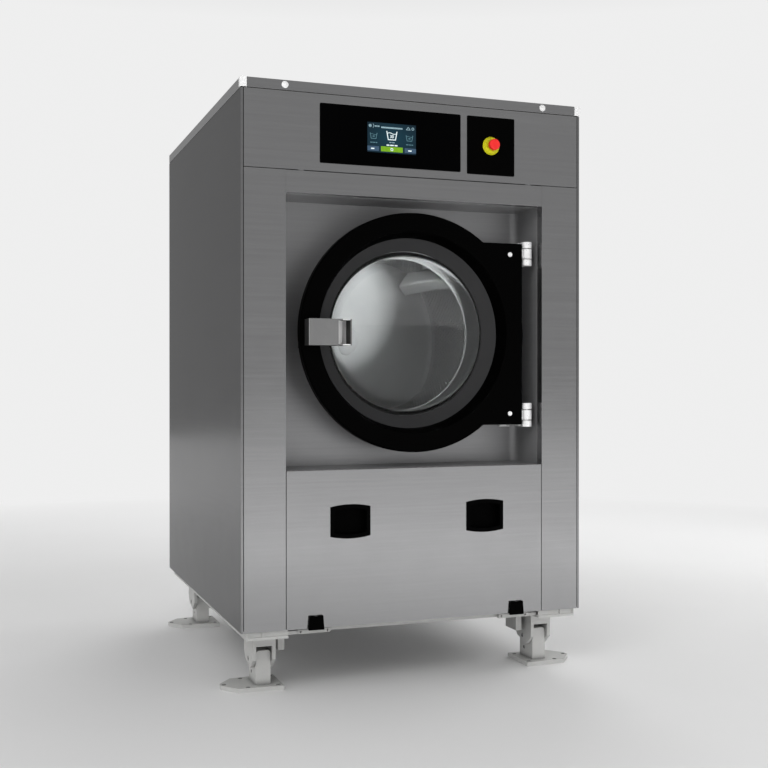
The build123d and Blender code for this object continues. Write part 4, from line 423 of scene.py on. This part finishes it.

# finish and edge rounding, in millimetres, of every imported node; 0 keeps the node's own mesh as it is
# imported
nodeLooks = {
    "base_frame": ("framePaint", 1.2), "foot_plates": ("footPaint", 0.8), "foot_forks": ("footPaint", 0.8),
    "foot_pins": ("machined", 0.4), "side_panel_left": ("sideSteel", 0.35),
    "side_panel_right": ("sideSteel", 0.35), "top_cover": ("topSteel", 0.4),
    "cover_caps": ("whitePlastic", 0.3), "front_columns": ("frontSteel", 0.35),
    "header_strip": ("frontSteel", 0.35), "control_fascia": ("frontSteel", 0.35),
    "display_glass": ("blackGlass", 0.4), "display_module": ("screen", 0),
    "estop_plate": ("blackPlastic", 0.5), "estop_collar": ("yellowPlastic", 0.4),
    "estop_block": ("blackPlastic", 0), "estop_stem": ("blackPlastic", 0),
    "estop_head": ("redPlastic", 0.8), "recess_panel": ("recessSteel", 0.35),
    "service_panel": ("frontSteel", 0.4), "panel_grips": ("blackPlastic", 0.6),
    "catch_left": ("blackPaint", 0.5), "catch_right": ("blackPaint", 0.5), "tub_shell": ("tubSteel", 0),
    "tub_front": ("tubSteel", 0), "tub_back": ("tubSteel", 0), "tub_brackets": ("framePaint", 0),
    "bearing_housing": ("casting", 0), "shaft_bearings": ("machined", 0), "shaft_seal": ("rubber", 0),
    "drum_back": ("drumCone", 0), "drum_lifters": ("liftersSteel", 2.5), "hub_cap": ("drumCone", 0),
    "drum_shaft": ("machined", 0), "drum_pulley": ("casting", 0), "drive_belt": ("rubber", 0),
    "motor": ("motorPaint", 0), "motor_rotor": ("machined", 0), "heating_elements": ("chrome", 0),
    "door_ring": ("blackPaint", 0.8), "door_bezel": ("bezelPlastic", 0.6), "door_glass": ("doorGlass", 0),
    "door_clamp_ring": ("rubber", 0), "door_hinges": ("whitePlating", 0.5),
    "hinge_brackets": ("whitePlating", 0.5), "handle_housing": ("handlePlastic", 0.5),
    "handle_lever": ("leverPlastic", 0.5), "latch_tongue": ("machined", 0),
    "door_lock": ("blackPlastic", 0), "rear_panel": ("rearSteel", 0.35), "belt_guard": ("rearSteel", 0.3),
    "electrical_box": ("framePaint", 0), "switch_knob": ("redPlastic", 0.6),
    "inlet_valves": ("brass", 0.3), "dispenser_tray": ("recessSteel", 0),
    "dispenser_lid": ("topSteel", 0.4), "drain_valve": ("blackPlastic", 0.5),
    "drain_ball": ("machined", 0), "drum_shell": ("drumWall", 0), "door_gasket": ("rubber", 0),
}
for nodeName, (finishName, edge) in nodeLooks.items():
    mesh = nodes[nodeName].data
    mesh.materials.clear()
    mesh.materials.append(finishes[finishName])


def addPiece(name, mesh, finishName, body, replaced=()):
    piece = bpy.data.objects.new(name, mesh)
    scene.collection.objects.link(piece)
    mesh.materials.clear()
    mesh.materials.append(finishes[finishName])
    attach(piece, body)
    if replaced:
        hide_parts(*replaced)
    return piece


def smoothMesh(bm, mesh, turn):
    for face in bm.faces:
        face.smooth = True
    for edge in bm.edges:
        edge.smooth = len(edge.link_faces) == 2 and edge.calc_face_angle(0) < math.radians(turn)
    bm.to_mesh(mesh)
    bm.free()


def roundedCopy(nodeName, finishName, width):
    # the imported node's own shape, with its edges rounded and its curves shaded smooth
    node = nodes[nodeName]
    bm = bmesh.new()
    bm.from_mesh(node.data)
    bmesh.ops.remove_doubles(bm, verts=bm.verts, dist=weld)
    bmesh.ops.dissolve_limit(bm, angle_limit=math.radians(flatTurn), use_dissolve_boundaries=False,
                             verts=bm.verts, edges=bm.edges, delimit={"NORMAL"})
    mesh = bpy.data.meshes.new(nodeName + "_rounded")
    smoothMesh(bm, mesh, softTurn)
    piece = addPiece(mesh.name, mesh, finishName, node["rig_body"], (nodeName,))
    bevel = piece.modifiers.new("edges", "BEVEL")
    bevel.width = width * millimetre
    bevel.segments = 2
    bevel.limit_method = "ANGLE"
    bevel.angle_limit = math.radians(softTurn)
    bevel.use_clamp_overlap = True
    bevel.harden_normals = True


for nodeName, (finishName, edge) in nodeLooks.items():
    if edge > 0:
        roundedCopy(nodeName, finishName, edge)
print("edges rounded on", sum(1 for look in nodeLooks.values() if look[1] > 0), "nodes")

# the perforated drum, rolled from a sheet with staggered holes, and its front wall with the rolled mouth
drum = {"radius": 0.347, "wall": 0.0025, "front": 0.1755, "rear": 0.765, "plainBand": 0.026, "round": 168,
        "mouth": 0.205, "hole": 0.0031, "bead": 0.005, "play": 0.0002, "turn": 40}
# the drum's coned back, softly bent round its hub, and the domed cap on the hub
cone = {"rim": 0.336, "hub": 0.090, "hubDepth": 0.603, "bore": 0.0175, "wall": 0.005, "soft": 0.004,
        "softShare": 0.6, "cap": 0.045, "capRise": 0.010, "steps": 160}
# across and along the rolled bead, as shares of its radius
beadShares = ((0.6, 0), (0.2, 0.3), (0, 1), (0.2, 1.7), (0.6, 2), (1, 1.7))
# how far each point of the bend lies outside the hub's rim and behind the hub, in metres
hubBend = ((0.035, 0.0231), (0.014, 0.0108), (-0.006, 0.0042), (-0.024, 0.0012), (-0.040, sliver))
# shares of the cap's radius and of its rise
capShares = ((0, 1), (0.2, 1), (0.45, 1), (0.7, 0.84), (0.87, 0.62), (0.93, 0.5), (0.985, 0.2))


def rollPoint(angle, depth, radius):
    return Vector((math.sin(angle) * radius, frontFace + depth, drumAxis.z + math.cos(angle) * radius))


def makeDrumWall():
    length = drum["rear"] - drum["front"]
    pitch = 2 * math.pi * drum["radius"] / drum["round"]
    holed = length - 2 * drum["plainBand"]
    rows = round(holed / pitch)
    bm = bmesh.new()
    bmesh.ops.create_grid(bm, x_segments=drum["round"], y_segments=rows, size=0.5)
    for vert in bm.verts:       # a flat sheet of the drum's real size, each row shifted by half a hole
        row = round((vert.co.y + 0.5) * rows)
        column = round((vert.co.x + 0.5) * drum["round"])
        vert.co = Vector(((column + row * 0.5) * pitch, row * holed / rows, 0))
    made = bmesh.ops.inset_individual(bm, faces=bm.faces[:], thickness=drum["hole"], use_even_offset=True)
    inner = [face for face in bm.faces if face not in set(made["faces"])]
    bmesh.ops.delete(bm, geom=inner, context="FACES")
    ends = [edge for edge in bm.edges if edge.is_boundary
            and (all(vert.co.y < weld for vert in edge.verts)
                 or all(vert.co.y > holed - weld for vert in edge.verts))]
    grown = bmesh.ops.extrude_edge_only(bm, edges=ends)["geom"]
    for vert in (item for item in grown if isinstance(item, bmesh.types.BMVert)):
        vert.co.y += drum["plainBand"] if vert.co.y > holed / 2 else -drum["plainBand"]
    for vert in bm.verts:       # roll the sheet up
        angle = vert.co.x / drum["radius"]
        vert.co = rollPoint(angle, drum["front"] + drum["plainBand"] + vert.co.y, drum["radius"])
    bmesh.ops.remove_doubles(bm, verts=bm.verts, dist=drum["play"])
    bmesh.ops.recalc_face_normals(bm, faces=bm.faces)
    offAxis = Vector((1, 0, 1))
    if sum(face.normal.dot((face.calc_center_median() - drumAxis) * offAxis) for face in bm.faces) < 0:
        bmesh.ops.reverse_faces(bm, faces=bm.faces)
    bmesh.ops.solidify(bm, geom=bm.faces[:], thickness=-drum["wall"])
    mesh = bpy.data.meshes.new("drum_wall_holed")
    smoothMesh(bm, mesh, drum["turn"])
    return mesh


def spunMesh(name, outline, steps=96, turn=50):
    # an outline of (radius, depth) spun round the drum's axis; it is closed unless it ends on the axis
    bm = bmesh.new()
    verts = [bm.verts.new((radius, frontFace + depth, drumAxis.z)) for radius, depth in outline]
    edges = [bm.edges.new(pair) for pair in zip(verts, verts[1:])]
    if outline[-1][0] > 0:
        edges.append(bm.edges.new((verts[-1], verts[0])))
    bmesh.ops.spin(bm, geom=verts + edges, cent=drumAxis, axis=(0, 1, 0), dvec=(0, 0, 0), angle=2 * math.pi,
                   steps=steps, use_merge=True, use_duplicate=False)
    bmesh.ops.remove_doubles(bm, verts=bm.verts, dist=weld / 2)
    bmesh.ops.recalc_face_normals(bm, faces=bm.faces)
    mesh = bpy.data.meshes.new(name)
    smoothMesh(bm, mesh, turn)
    return mesh


def addSpun(name, outline, finishName, body, slotName, replaced=(), **spin):
    addPiece(name, spunMesh(name, outline, **spin), finishName, body, replaced)


def frontWallOutline():
    radius, wall, front, bead = drum["radius"] - drum["play"], drum["wall"], drum["front"], drum["bead"]
    rolled = [(drum["mouth"] + bead * out, front + bead * back) for out, back in beadShares]
    return [(radius, front + wall), (radius, front), *rolled, (drum["mouth"] + bead, front + wall)]


def coneOutline():
    rim, hub, hubDepth, wall, soft = (cone[key] for key in ("rim", "hub", "hubDepth", "wall", "soft"))
    rear, outside = drum["rear"], drum["radius"] + drum["wall"] - sliver
    slope = (rim - hub) / (rear - hubDepth)
    inner = soft * cone["softShare"]
    front = [(outside, rear + sliver), (rim + soft, rear + sliver), (rim - inner, rear - inner / slope),
             *((hub + out, hubDepth + back) for out, back in hubBend), (cone["bore"], hubDepth + sliver)]
    back = [(cone["bore"], hubDepth + wall), (hub - wall / 2, hubDepth + wall),
            (rim - wall / 2, rear + wall - sliver), (outside, rear + wall - sliver)]
    return front + back


def capOutline():
    cap, rise, base = cone["cap"], cone["capRise"], cone["hubDepth"]
    dome = [(cap * across, base - rise * up) for across, up in capShares]
    return [*dome, (cap, base - sliver), (0.0, base - sliver)]


addPiece("drum_wall_holed", makeDrumWall(), "drumWall", "drum", ("drum_shell",))
addSpun("drum_front_wall", frontWallOutline(), "drumWall", "drum", "drum_steel", turn=softTurn)
addSpun("drum_cone", coneOutline(), "drumCone", "drum", "drum_steel", ("drum_back",), steps=cone["steps"])
addSpun("hub_cap_domed", capOutline(), "drumCone", "drum", "drum_steel", ("hub_cap",))
print("drum made")

# the door glass, blown as one bowl with a flat flange
bowl = {"flange": 0.234, "front": 0.0859, "wall": 0.006, "edge": 0.205, "shoulder": 0.190,
        "shoulderDepth": 0.140, "apex": 0.186, "lip": 0.0015, "bend": 0.032, "bendSteps": 6, "capSteps": 14,
        "steps": 128, "turn": 40}


def capPoints(rim, rimDepth, apexDepth, steps):
    # points of a round cap from its rim to its middle
    rise = apexDepth - rimDepth
    ball = (rim ** 2 + rise ** 2) / (2 * rise)
    angles = [math.asin(rim / ball) * (1 - step / steps) for step in range(steps + 1)]
    return [(ball * math.sin(angle), apexDepth - ball + ball * math.cos(angle)) for angle in angles]


def softCorner(curve, start):
    # the cap's rim corner replaced by a short bend, from the side wall onto the cap
    corner, target = Vector(curve[0]), Vector(curve[2])
    start = corner + (Vector(start) - corner).normalized() * bowl["bend"]
    shares = [step / bowl["bendSteps"] for step in range(bowl["bendSteps"] + 1)]
    bend = [tuple(start.lerp(corner, share).lerp(corner.lerp(target, share), share)) for share in shares]
    return bend + curve[3:]


def bowlOutline():
    wall, front, lip, flange, edge = (bowl[key] for key in ("wall", "front", "lip", "flange", "edge"))
    shoulder, depth, apex, steps = (bowl[key] for key in ("shoulder", "shoulderDepth", "apex", "capSteps"))
    innerCap = capPoints(shoulder - wall, depth - wall / 2, apex - wall, steps)
    inner = softCorner(innerCap, (edge - wall, front))
    outer = softCorner(capPoints(shoulder, depth, apex, steps), (edge, front + wall))
    near, far, widest = front + sliver, front + wall - sliver, flange - sliver
    rim = [(edge - wall, front + lip), (edge - wall + lip, near), (flange - lip, near),
           (widest, front + lip), (widest, front + wall - lip), (flange - lip, far), (edge, far)]
    return [(abs(radius), depth) for radius, depth in reversed(inner)] + rim + outer[:-1] + [(0.0, apex)]


addSpun("door_glass_bowl", bowlOutline(), "doorGlass", "door", "clear_glass", ("door_glass",),
        steps=bowl["steps"], turn=bowl["turn"])
print("door glass made")

# the mouth gasket, a soft ring with two beads that the door presses on
gasket = {"inner": 0.212, "outer": 0.242, "front": 0.0966, "back": 0.1177, "bead": 0.0036, "play": 0.0002,
          "lip": 0.002, "beadSteps": 6, "beadShare": 0.9, "outsideShare": 1.6, "lipShare": 2.1,
          "insideShare": 2.6}


def gasketOutline():
    # the depths beside the beads are shares of a bead's height
    bead, steps, back = gasket["bead"], gasket["beadSteps"], gasket["back"]
    front, inner = gasket["front"] + gasket["play"], gasket["inner"] + gasket["play"]
    outer = gasket["outer"] - gasket["play"]
    middle = (gasket["inner"] + gasket["outer"]) / 2
    points = [(inner, back), (outer, back), (outer, front + bead * gasket["outsideShare"])]
    for centre in (middle + bead, middle - bead):       # two rounded beads
        for angle in (math.pi * step / steps for step in range(steps + 1)):
            points.append((centre + math.cos(angle) * bead * gasket["beadShare"],
                           front + bead - math.sin(angle) * bead))
    return points + [(gasket["inner"] + gasket["lip"], front + bead * gasket["lipShare"]),
                     (inner, front + bead * gasket["insideShare"])]


addSpun("door_gasket_soft", gasketOutline(), "rubber", "cabinet", "rubber", ("door_gasket",))

# what the lit screen shows: care symbols and plain bars, each a thin raised film on the glass
screenArea = {"left": -0.1336, "right": -0.0090, "low": 1.2865, "high": 1.3580, "face": frontFace - 0.0016,
              "film": 0.00014, "sunk": 0.00002}
screenFinishes = {
    "whiteMark": {"colour": (0.80, 0.92, 0.95), "strength": 1.0},
    "paleMark": {"colour": (0.42, 0.62, 0.70), "strength": 0.55},
    "fadedMark": {"colour": (0.13, 0.27, 0.32), "strength": 0.7},
    "greenKey": {"colour": (0.20, 0.43, 0.02), "strength": 0.9},
    "greyKey": {"colour": (0.055, 0.10, 0.16), "strength": 0.9},
}
finishes.update((markName, litMark(markName, look)) for markName, look in screenFinishes.items())
screenWidth, screenHeight = screenArea["right"] - screenArea["left"], screenArea["high"] - screenArea["low"]
screenShape = screenWidth / screenHeight


def screenPoint(u, v):
    # u runs from the left edge to the right one and v from the top down, both from 0 to 1
    return screenArea["left"] + screenWidth * u, screenArea["high"] - screenHeight * v


def filmBlock(bm, corners, lift=1.0):
    # a thin film with the given outline of (u, v) on the screen
    face, sunk = screenArea["face"], screenArea["sunk"]
    verts = [bm.verts.new((x, face + sunk, z)) for x, z in (screenPoint(u, v) for u, v in corners)]
    base = bm.faces.new(verts)
    grown = bmesh.ops.extrude_face_region(bm, geom=[base])["geom"]
    moved = [item for item in grown if isinstance(item, bmesh.types.BMVert)]
    bmesh.ops.translate(bm, verts=moved, vec=(0, -screenArea["film"] * lift - sunk, 0))


def filmBar(bm, left, top, right, bottom, lift=1.0):
    filmBlock(bm, [(left, bottom), (right, bottom), (right, top), (left, top)], lift)


overlapShare = 0.35     # how far a straight run of a line goes past each end, as a share of its width


def filmLine(bm, points, width, lift=1.0):
    # a bent stroke of even width, one block for each straight run, with ends that overlap at the bends
    places = [Vector((u * screenShape, v)) for u, v in points]
    for start, end in zip(places, places[1:]):
        run = (end - start).normalized()
        side, reach = Vector((-run.y, run.x)) * width / 2, run * width * overlapShare
        corners = (start + side - reach, start - side - reach, end - side + reach, end + side + reach)
        filmBlock(bm, [(corner.x / screenShape, corner.y) for corner in corners], lift)


# the usual care symbol, a tub with a wavy water line, in shares of its size; the line is thinner than the wall
tub = {"wideShare": 0.62, "wallShares": ((-0.56, -0.5), (-0.40, 0.42), (0.40, 0.42), (0.56, -0.5)),
       "waveSteps": 8, "waveShare": -0.28, "swingShare": 0.07, "thinShare": 0.7}


def filmTub(bm, u, v, size, width):
    wide, steps = size * tub["wideShare"], tub["waveSteps"]
    level, swing = tub["waveShare"], tub["swingShare"]
    turns = [step / steps for step in range(steps + 1)]
    wave = [(turn - 0.5, level - math.sin(turn * 2 * math.pi) * swing) for turn in turns]
    for shape, thick in ((tub["wallShares"], width), (wave, width * tub["thinShare"])):
        filmLine(bm, [(u + wide * across, v + size * down) for across, down in shape], thick)


boldShare = 0.02        # how much thicker than the font the digits are, as a share of their height


def filmWord(bm, word, u, v, height):
    letters = bpy.data.curves.new("screenWord", "FONT")
    letters.body = word
    letters.size = height
    letters.align_x, letters.align_y = "CENTER", "CENTER"
    letters.extrude = screenArea["film"] / 2
    letters.offset = height * boldShare
    holder = bpy.data.objects.new("screenWord", letters)
    scene.collection.objects.link(holder)
    bpy.context.view_layer.update()
    made = bpy.data.meshes.new_from_object(holder.evaluated_get(bpy.context.evaluated_depsgraph_get()))
    x, z = screenPoint(u, v)
    made.transform(Matrix.Translation((x, screenArea["face"] - screenArea["film"] / 2, z))
                   @ Matrix.Rotation(math.radians(90), 4, "X"))
    bm.from_mesh(made)
    bpy.data.objects.remove(holder)
    bpy.data.meshes.remove(made)


def filmRing(bm, u, v, radius, width, lift=1.0, steps=12):
    angles = [step / steps * 2 * math.pi for step in range(steps + 1)]
    ring = [(u + math.cos(angle) * radius / screenShape, v + math.sin(angle) * radius) for angle in angles]
    filmLine(bm, ring, width, lift)


def fadedTub(u):
    # the smaller tub at either side, with plain bars in place of words
    ends = ((-0.07, -0.02), (-0.01, 0.03), (0.04, 0.075))
    return [("tub", u, 0.46, 0.20, 0.020), ("bar", u - 0.02, 0.45, u + 0.02, 0.485),
            *(("bar", u + left, 0.66, u + right, 0.69) for left, right in ends)]


# every film's finish and marks; places and sizes are shares of the screen, a word's height is in metres.
# The last number of a mark that lies on a key lifts it over the key
markMakers = {"tub": filmTub, "word": filmWord, "bar": filmBar, "ring": filmRing, "line": filmLine}
films = {
    "screen_white": ("whiteMark", [
        ("tub", 0.50, 0.42, 0.30, 0.030), ("word", "30", 0.50, 0.445, 0.0098),
        ("bar", 0.39, 0.715, 0.45, 0.755), ("bar", 0.465, 0.715, 0.54, 0.755),
        ("bar", 0.555, 0.715, 0.615, 0.755),
        ("ring", 0.50, 0.875, 0.040, 0.022, 1.3), ("bar", 0.07, 0.86, 0.14, 0.90, 1.3),
        ("bar", 0.84, 0.86, 0.91, 0.90, 1.3)]),
    "screen_pale": ("paleMark", [
        ("bar", 0.28, 0.125, 0.72, 0.175), ("ring", 0.055, 0.12, 0.042, 0.022),
        ("bar", 0.04, 0.10, 0.07, 0.14), ("line", [(0.115, 0.06), (0.132, 0.12), (0.115, 0.18)], 0.018),
        ("bar", 0.15, 0.10, 0.19, 0.145), ("bar", 0.20, 0.10, 0.245, 0.145),
        ("line", [(0.80, 0.17), (0.84, 0.08), (0.88, 0.17), (0.80, 0.17)], 0.02),
        ("ring", 0.935, 0.13, 0.038, 0.024), ("bar", 0.45, 0.625, 0.49, 0.655),
        ("bar", 0.505, 0.625, 0.555, 0.655)]),
    "screen_faded": ("fadedMark", fadedTub(0.125) + fadedTub(0.865)),
    "screen_green_key": ("greenKey", [("bar", 0.275, 0.785, 0.725, 0.955)]),
    "screen_grey_keys": ("greyKey", [("bar", 0.0, 0.795, 0.235, 0.955), ("bar", 0.765, 0.795, 1.0, 0.955)]),
}
for name, (finishName, marks) in films.items():
    bm = bmesh.new()
    for kind, *values in marks:
        markMakers[kind](bm, *values)
    bmesh.ops.recalc_face_normals(bm, faces=bm.faces)
    mesh = bpy.data.meshes.new(name)
    bm.to_mesh(mesh)
    bm.free()
    addPiece(name, mesh, finishName, "cabinet")
print("screen made")

# floor, surroundings and lamps

# the floor fades into the backdrop between two distances, and the backdrop darkens between two heights
surroundings = {"floor": (0.80, 0.80, 0.80), "far": 0.86, "ceiling": 0.10, "fill": 0.45, "floorRadius": 40.0,
                "fadeFrom": 1.5, "fadeTo": 4.2, "darkFrom": 0.30, "darkTo": 0.62}


def grey(tone):
    return (tone, tone, tone, 1)


def addStage(name, bm, material):
    mesh = bpy.data.meshes.new(name)
    bm.to_mesh(mesh)
    bm.free()
    mesh.materials.append(material)
    thing = bpy.data.objects.new(name, mesh)
    scene.collection.objects.link(thing)
    return thing


def makeFloor():
    material, tree, shader = newMaterial("paleFloor", {"Roughness": 0.7, "Specular IOR Level": 0.2})
    point = objectPoint(tree)
    mottle = spread(tree, noise(tree, point, "floorMottle"))
    feed(tree, shader, colour=tinted(tree, mottle, surroundings["floor"], dark=0.985, light=1.01))
    away = vectorMath(tree, "LENGTH", stretched(tree, point, (1, 1, 0)))["Value"]
    fade = spread(tree, away, fromLow=surroundings["fadeFrom"], fromHigh=surroundings["fadeTo"])
    glow = addNode(tree, "Emission", {"Color": grey(surroundings["far"]), "Strength": 1.0}).outputs[0]
    mixed = addNode(tree, "MixShader", {0: fade, 1: shader.outputs[0], 2: glow})
    tree.links.new(mixed.outputs[0], tree.nodes["Material Output"].inputs["Surface"])
    bm = bmesh.new()
    bmesh.ops.create_circle(bm, cap_ends=True, segments=64, radius=surroundings["floorRadius"])
    floor = addStage("floor", bm, material)


def makeWorld():
    world = bpy.data.worlds.new("studio")
    world.use_nodes = True
    scene.world = world
    tree = world.node_tree
    plain = tree.nodes["Background"]
    plain.inputs["Color"].default_value = grey(surroundings["fill"])
    up = addNode(tree, "SeparateXYZ", {0: addNode(tree, "TexCoord").outputs["Generated"]}).outputs[2]
    height = spread(tree, up, fromLow=surroundings["darkFrom"], fromHigh=surroundings["darkTo"])
    seen = mixColour(tree, height, grey(surroundings["far"]), grey(surroundings["ceiling"]))
    backdrop = addNode(tree, "Background", {"Color": seen}).outputs[0]
    path = addNode(tree, "LightPath").outputs
    seenRay = calc(tree, "MAXIMUM", calc(tree, "MAXIMUM", path["Is Camera Ray"], path["Is Glossy Ray"]),
                   path["Is Transmission Ray"])
    mixed = addNode(tree, "MixShader", {0: seenRay, 1: plain.outputs[0], 2: backdrop})
    tree.links.new(mixed.outputs[0], tree.nodes["World Output"].inputs["Surface"])


# grey cards behind the camera's place and beside it, that only the reflections show: they keep the steel
# from mirroring the bright room
cards = {
    "front": {"at": (0, -12, 15), "turn": 0, "size": (60, 30)},
    "left": {"at": (-12, 0, 15), "turn": 90, "size": (60, 30)},
    "leftRear": {"at": (-6.5, 12, 15), "turn": 0, "size": (13, 30)},
}
cardTone = 0.385


def makeCards():
    material, tree, shader = newMaterial("greyCard", {"Base Color": grey(0), "Specular IOR Level": 0.0,
                                                      "Emission Strength": 1.0})
    weave = noise(tree, objectPoint(tree), "cardWeave")
    tone = tinted(tree, weave, grey(cardTone)[:3], dark=0.97, light=1.03)
    tree.links.new(tone, shader.inputs["Emission Color"])
    for name, look in cards.items():
        bm = bmesh.new()
        bmesh.ops.create_grid(bm, x_segments=1, y_segments=1, size=0.5)
        card = addStage("card_" + name, bm, material)
        card.location = look["at"]
        card.rotation_euler = (math.radians(90), 0, math.radians(look["turn"]))
        card.scale = (*look["size"], 1)
        card.visible_camera = card.visible_diffuse = card.visible_shadow = False


lamps = {
    "highLeft": {"at": (-2.6, -3.2, 2.9), "aim": (0, -0.3, 0.8), "size": (2.4, 2.0), "power": 62},
    "lowFront": {"at": (1.1, -3.0, 0.42), "aim": (0, -0.5, 0.15), "size": (2.6, 0.6), "power": 26},
    "lowLeft": {"at": (-2.8, -0.2, 0.4), "aim": (-0.5, 0, 0.1), "size": (2.0, 0.6), "power": 14},
    "rear": {"at": (1.6, 3.4, 2.4), "aim": (0, 0.4, 0.8), "size": (2.4, 2.0), "power": 60},
    "right": {"at": (3.4, 0.6, 1.8), "aim": (0, 0, 0.7), "size": (2.0, 1.6), "power": 40},
}
# two beams through the door that light only the pieces of the drum, not the cabinet's steel
drumBeams = {
    "drumKey": {"at": (0.25, -3.0, 0.12), "aim": (0.0, 0.15, 1.02),
                "angle": 14, "radius": 0.40, "power": 1900},
    "drumFill": {"at": (-0.9, -3.1, 0.90), "aim": (0.15, 0.15, 0.80),
                 "angle": 16, "radius": 0.60, "power": 230},
}
drumInside = ("drum_cone", "hub_cap_domed", "drum_wall_holed", "drum_front_wall", "drum_lifters_rounded")


def placeLamp(name, data, look):
    data.energy = look["power"]
    lamp = bpy.data.objects.new(name, data)
    scene.collection.objects.link(lamp)
    lamp.location = look["at"]
    lamp.rotation_euler = (Vector(look["aim"]) - Vector(look["at"])).to_track_quat("-Z", "Y").to_euler()
    return lamp


def makeLamps():
    for name, look in lamps.items():
        data = bpy.data.lights.new(name, "AREA")
        data.shape = "RECTANGLE"
        data.size, data.size_y = look["size"]
        lamp = placeLamp(name, data, look)
        lamp.visible_glossy = lamp.visible_transmission = False
    inside = bpy.data.collections.new("drumInside")
    for pieceName in drumInside:
        inside.objects.link(bpy.data.objects[pieceName])
    for name, look in drumBeams.items():
        data = bpy.data.lights.new(name, "SPOT")
        data.spot_size, data.spot_blend = math.radians(look["angle"]), 1.0
        data.shadow_soft_size = look["radius"]
        placeLamp(name, data, look).light_linking.receiver_collection = inside


makeFloor()
makeWorld()
makeCards()
makeLamps()
print("stage made")
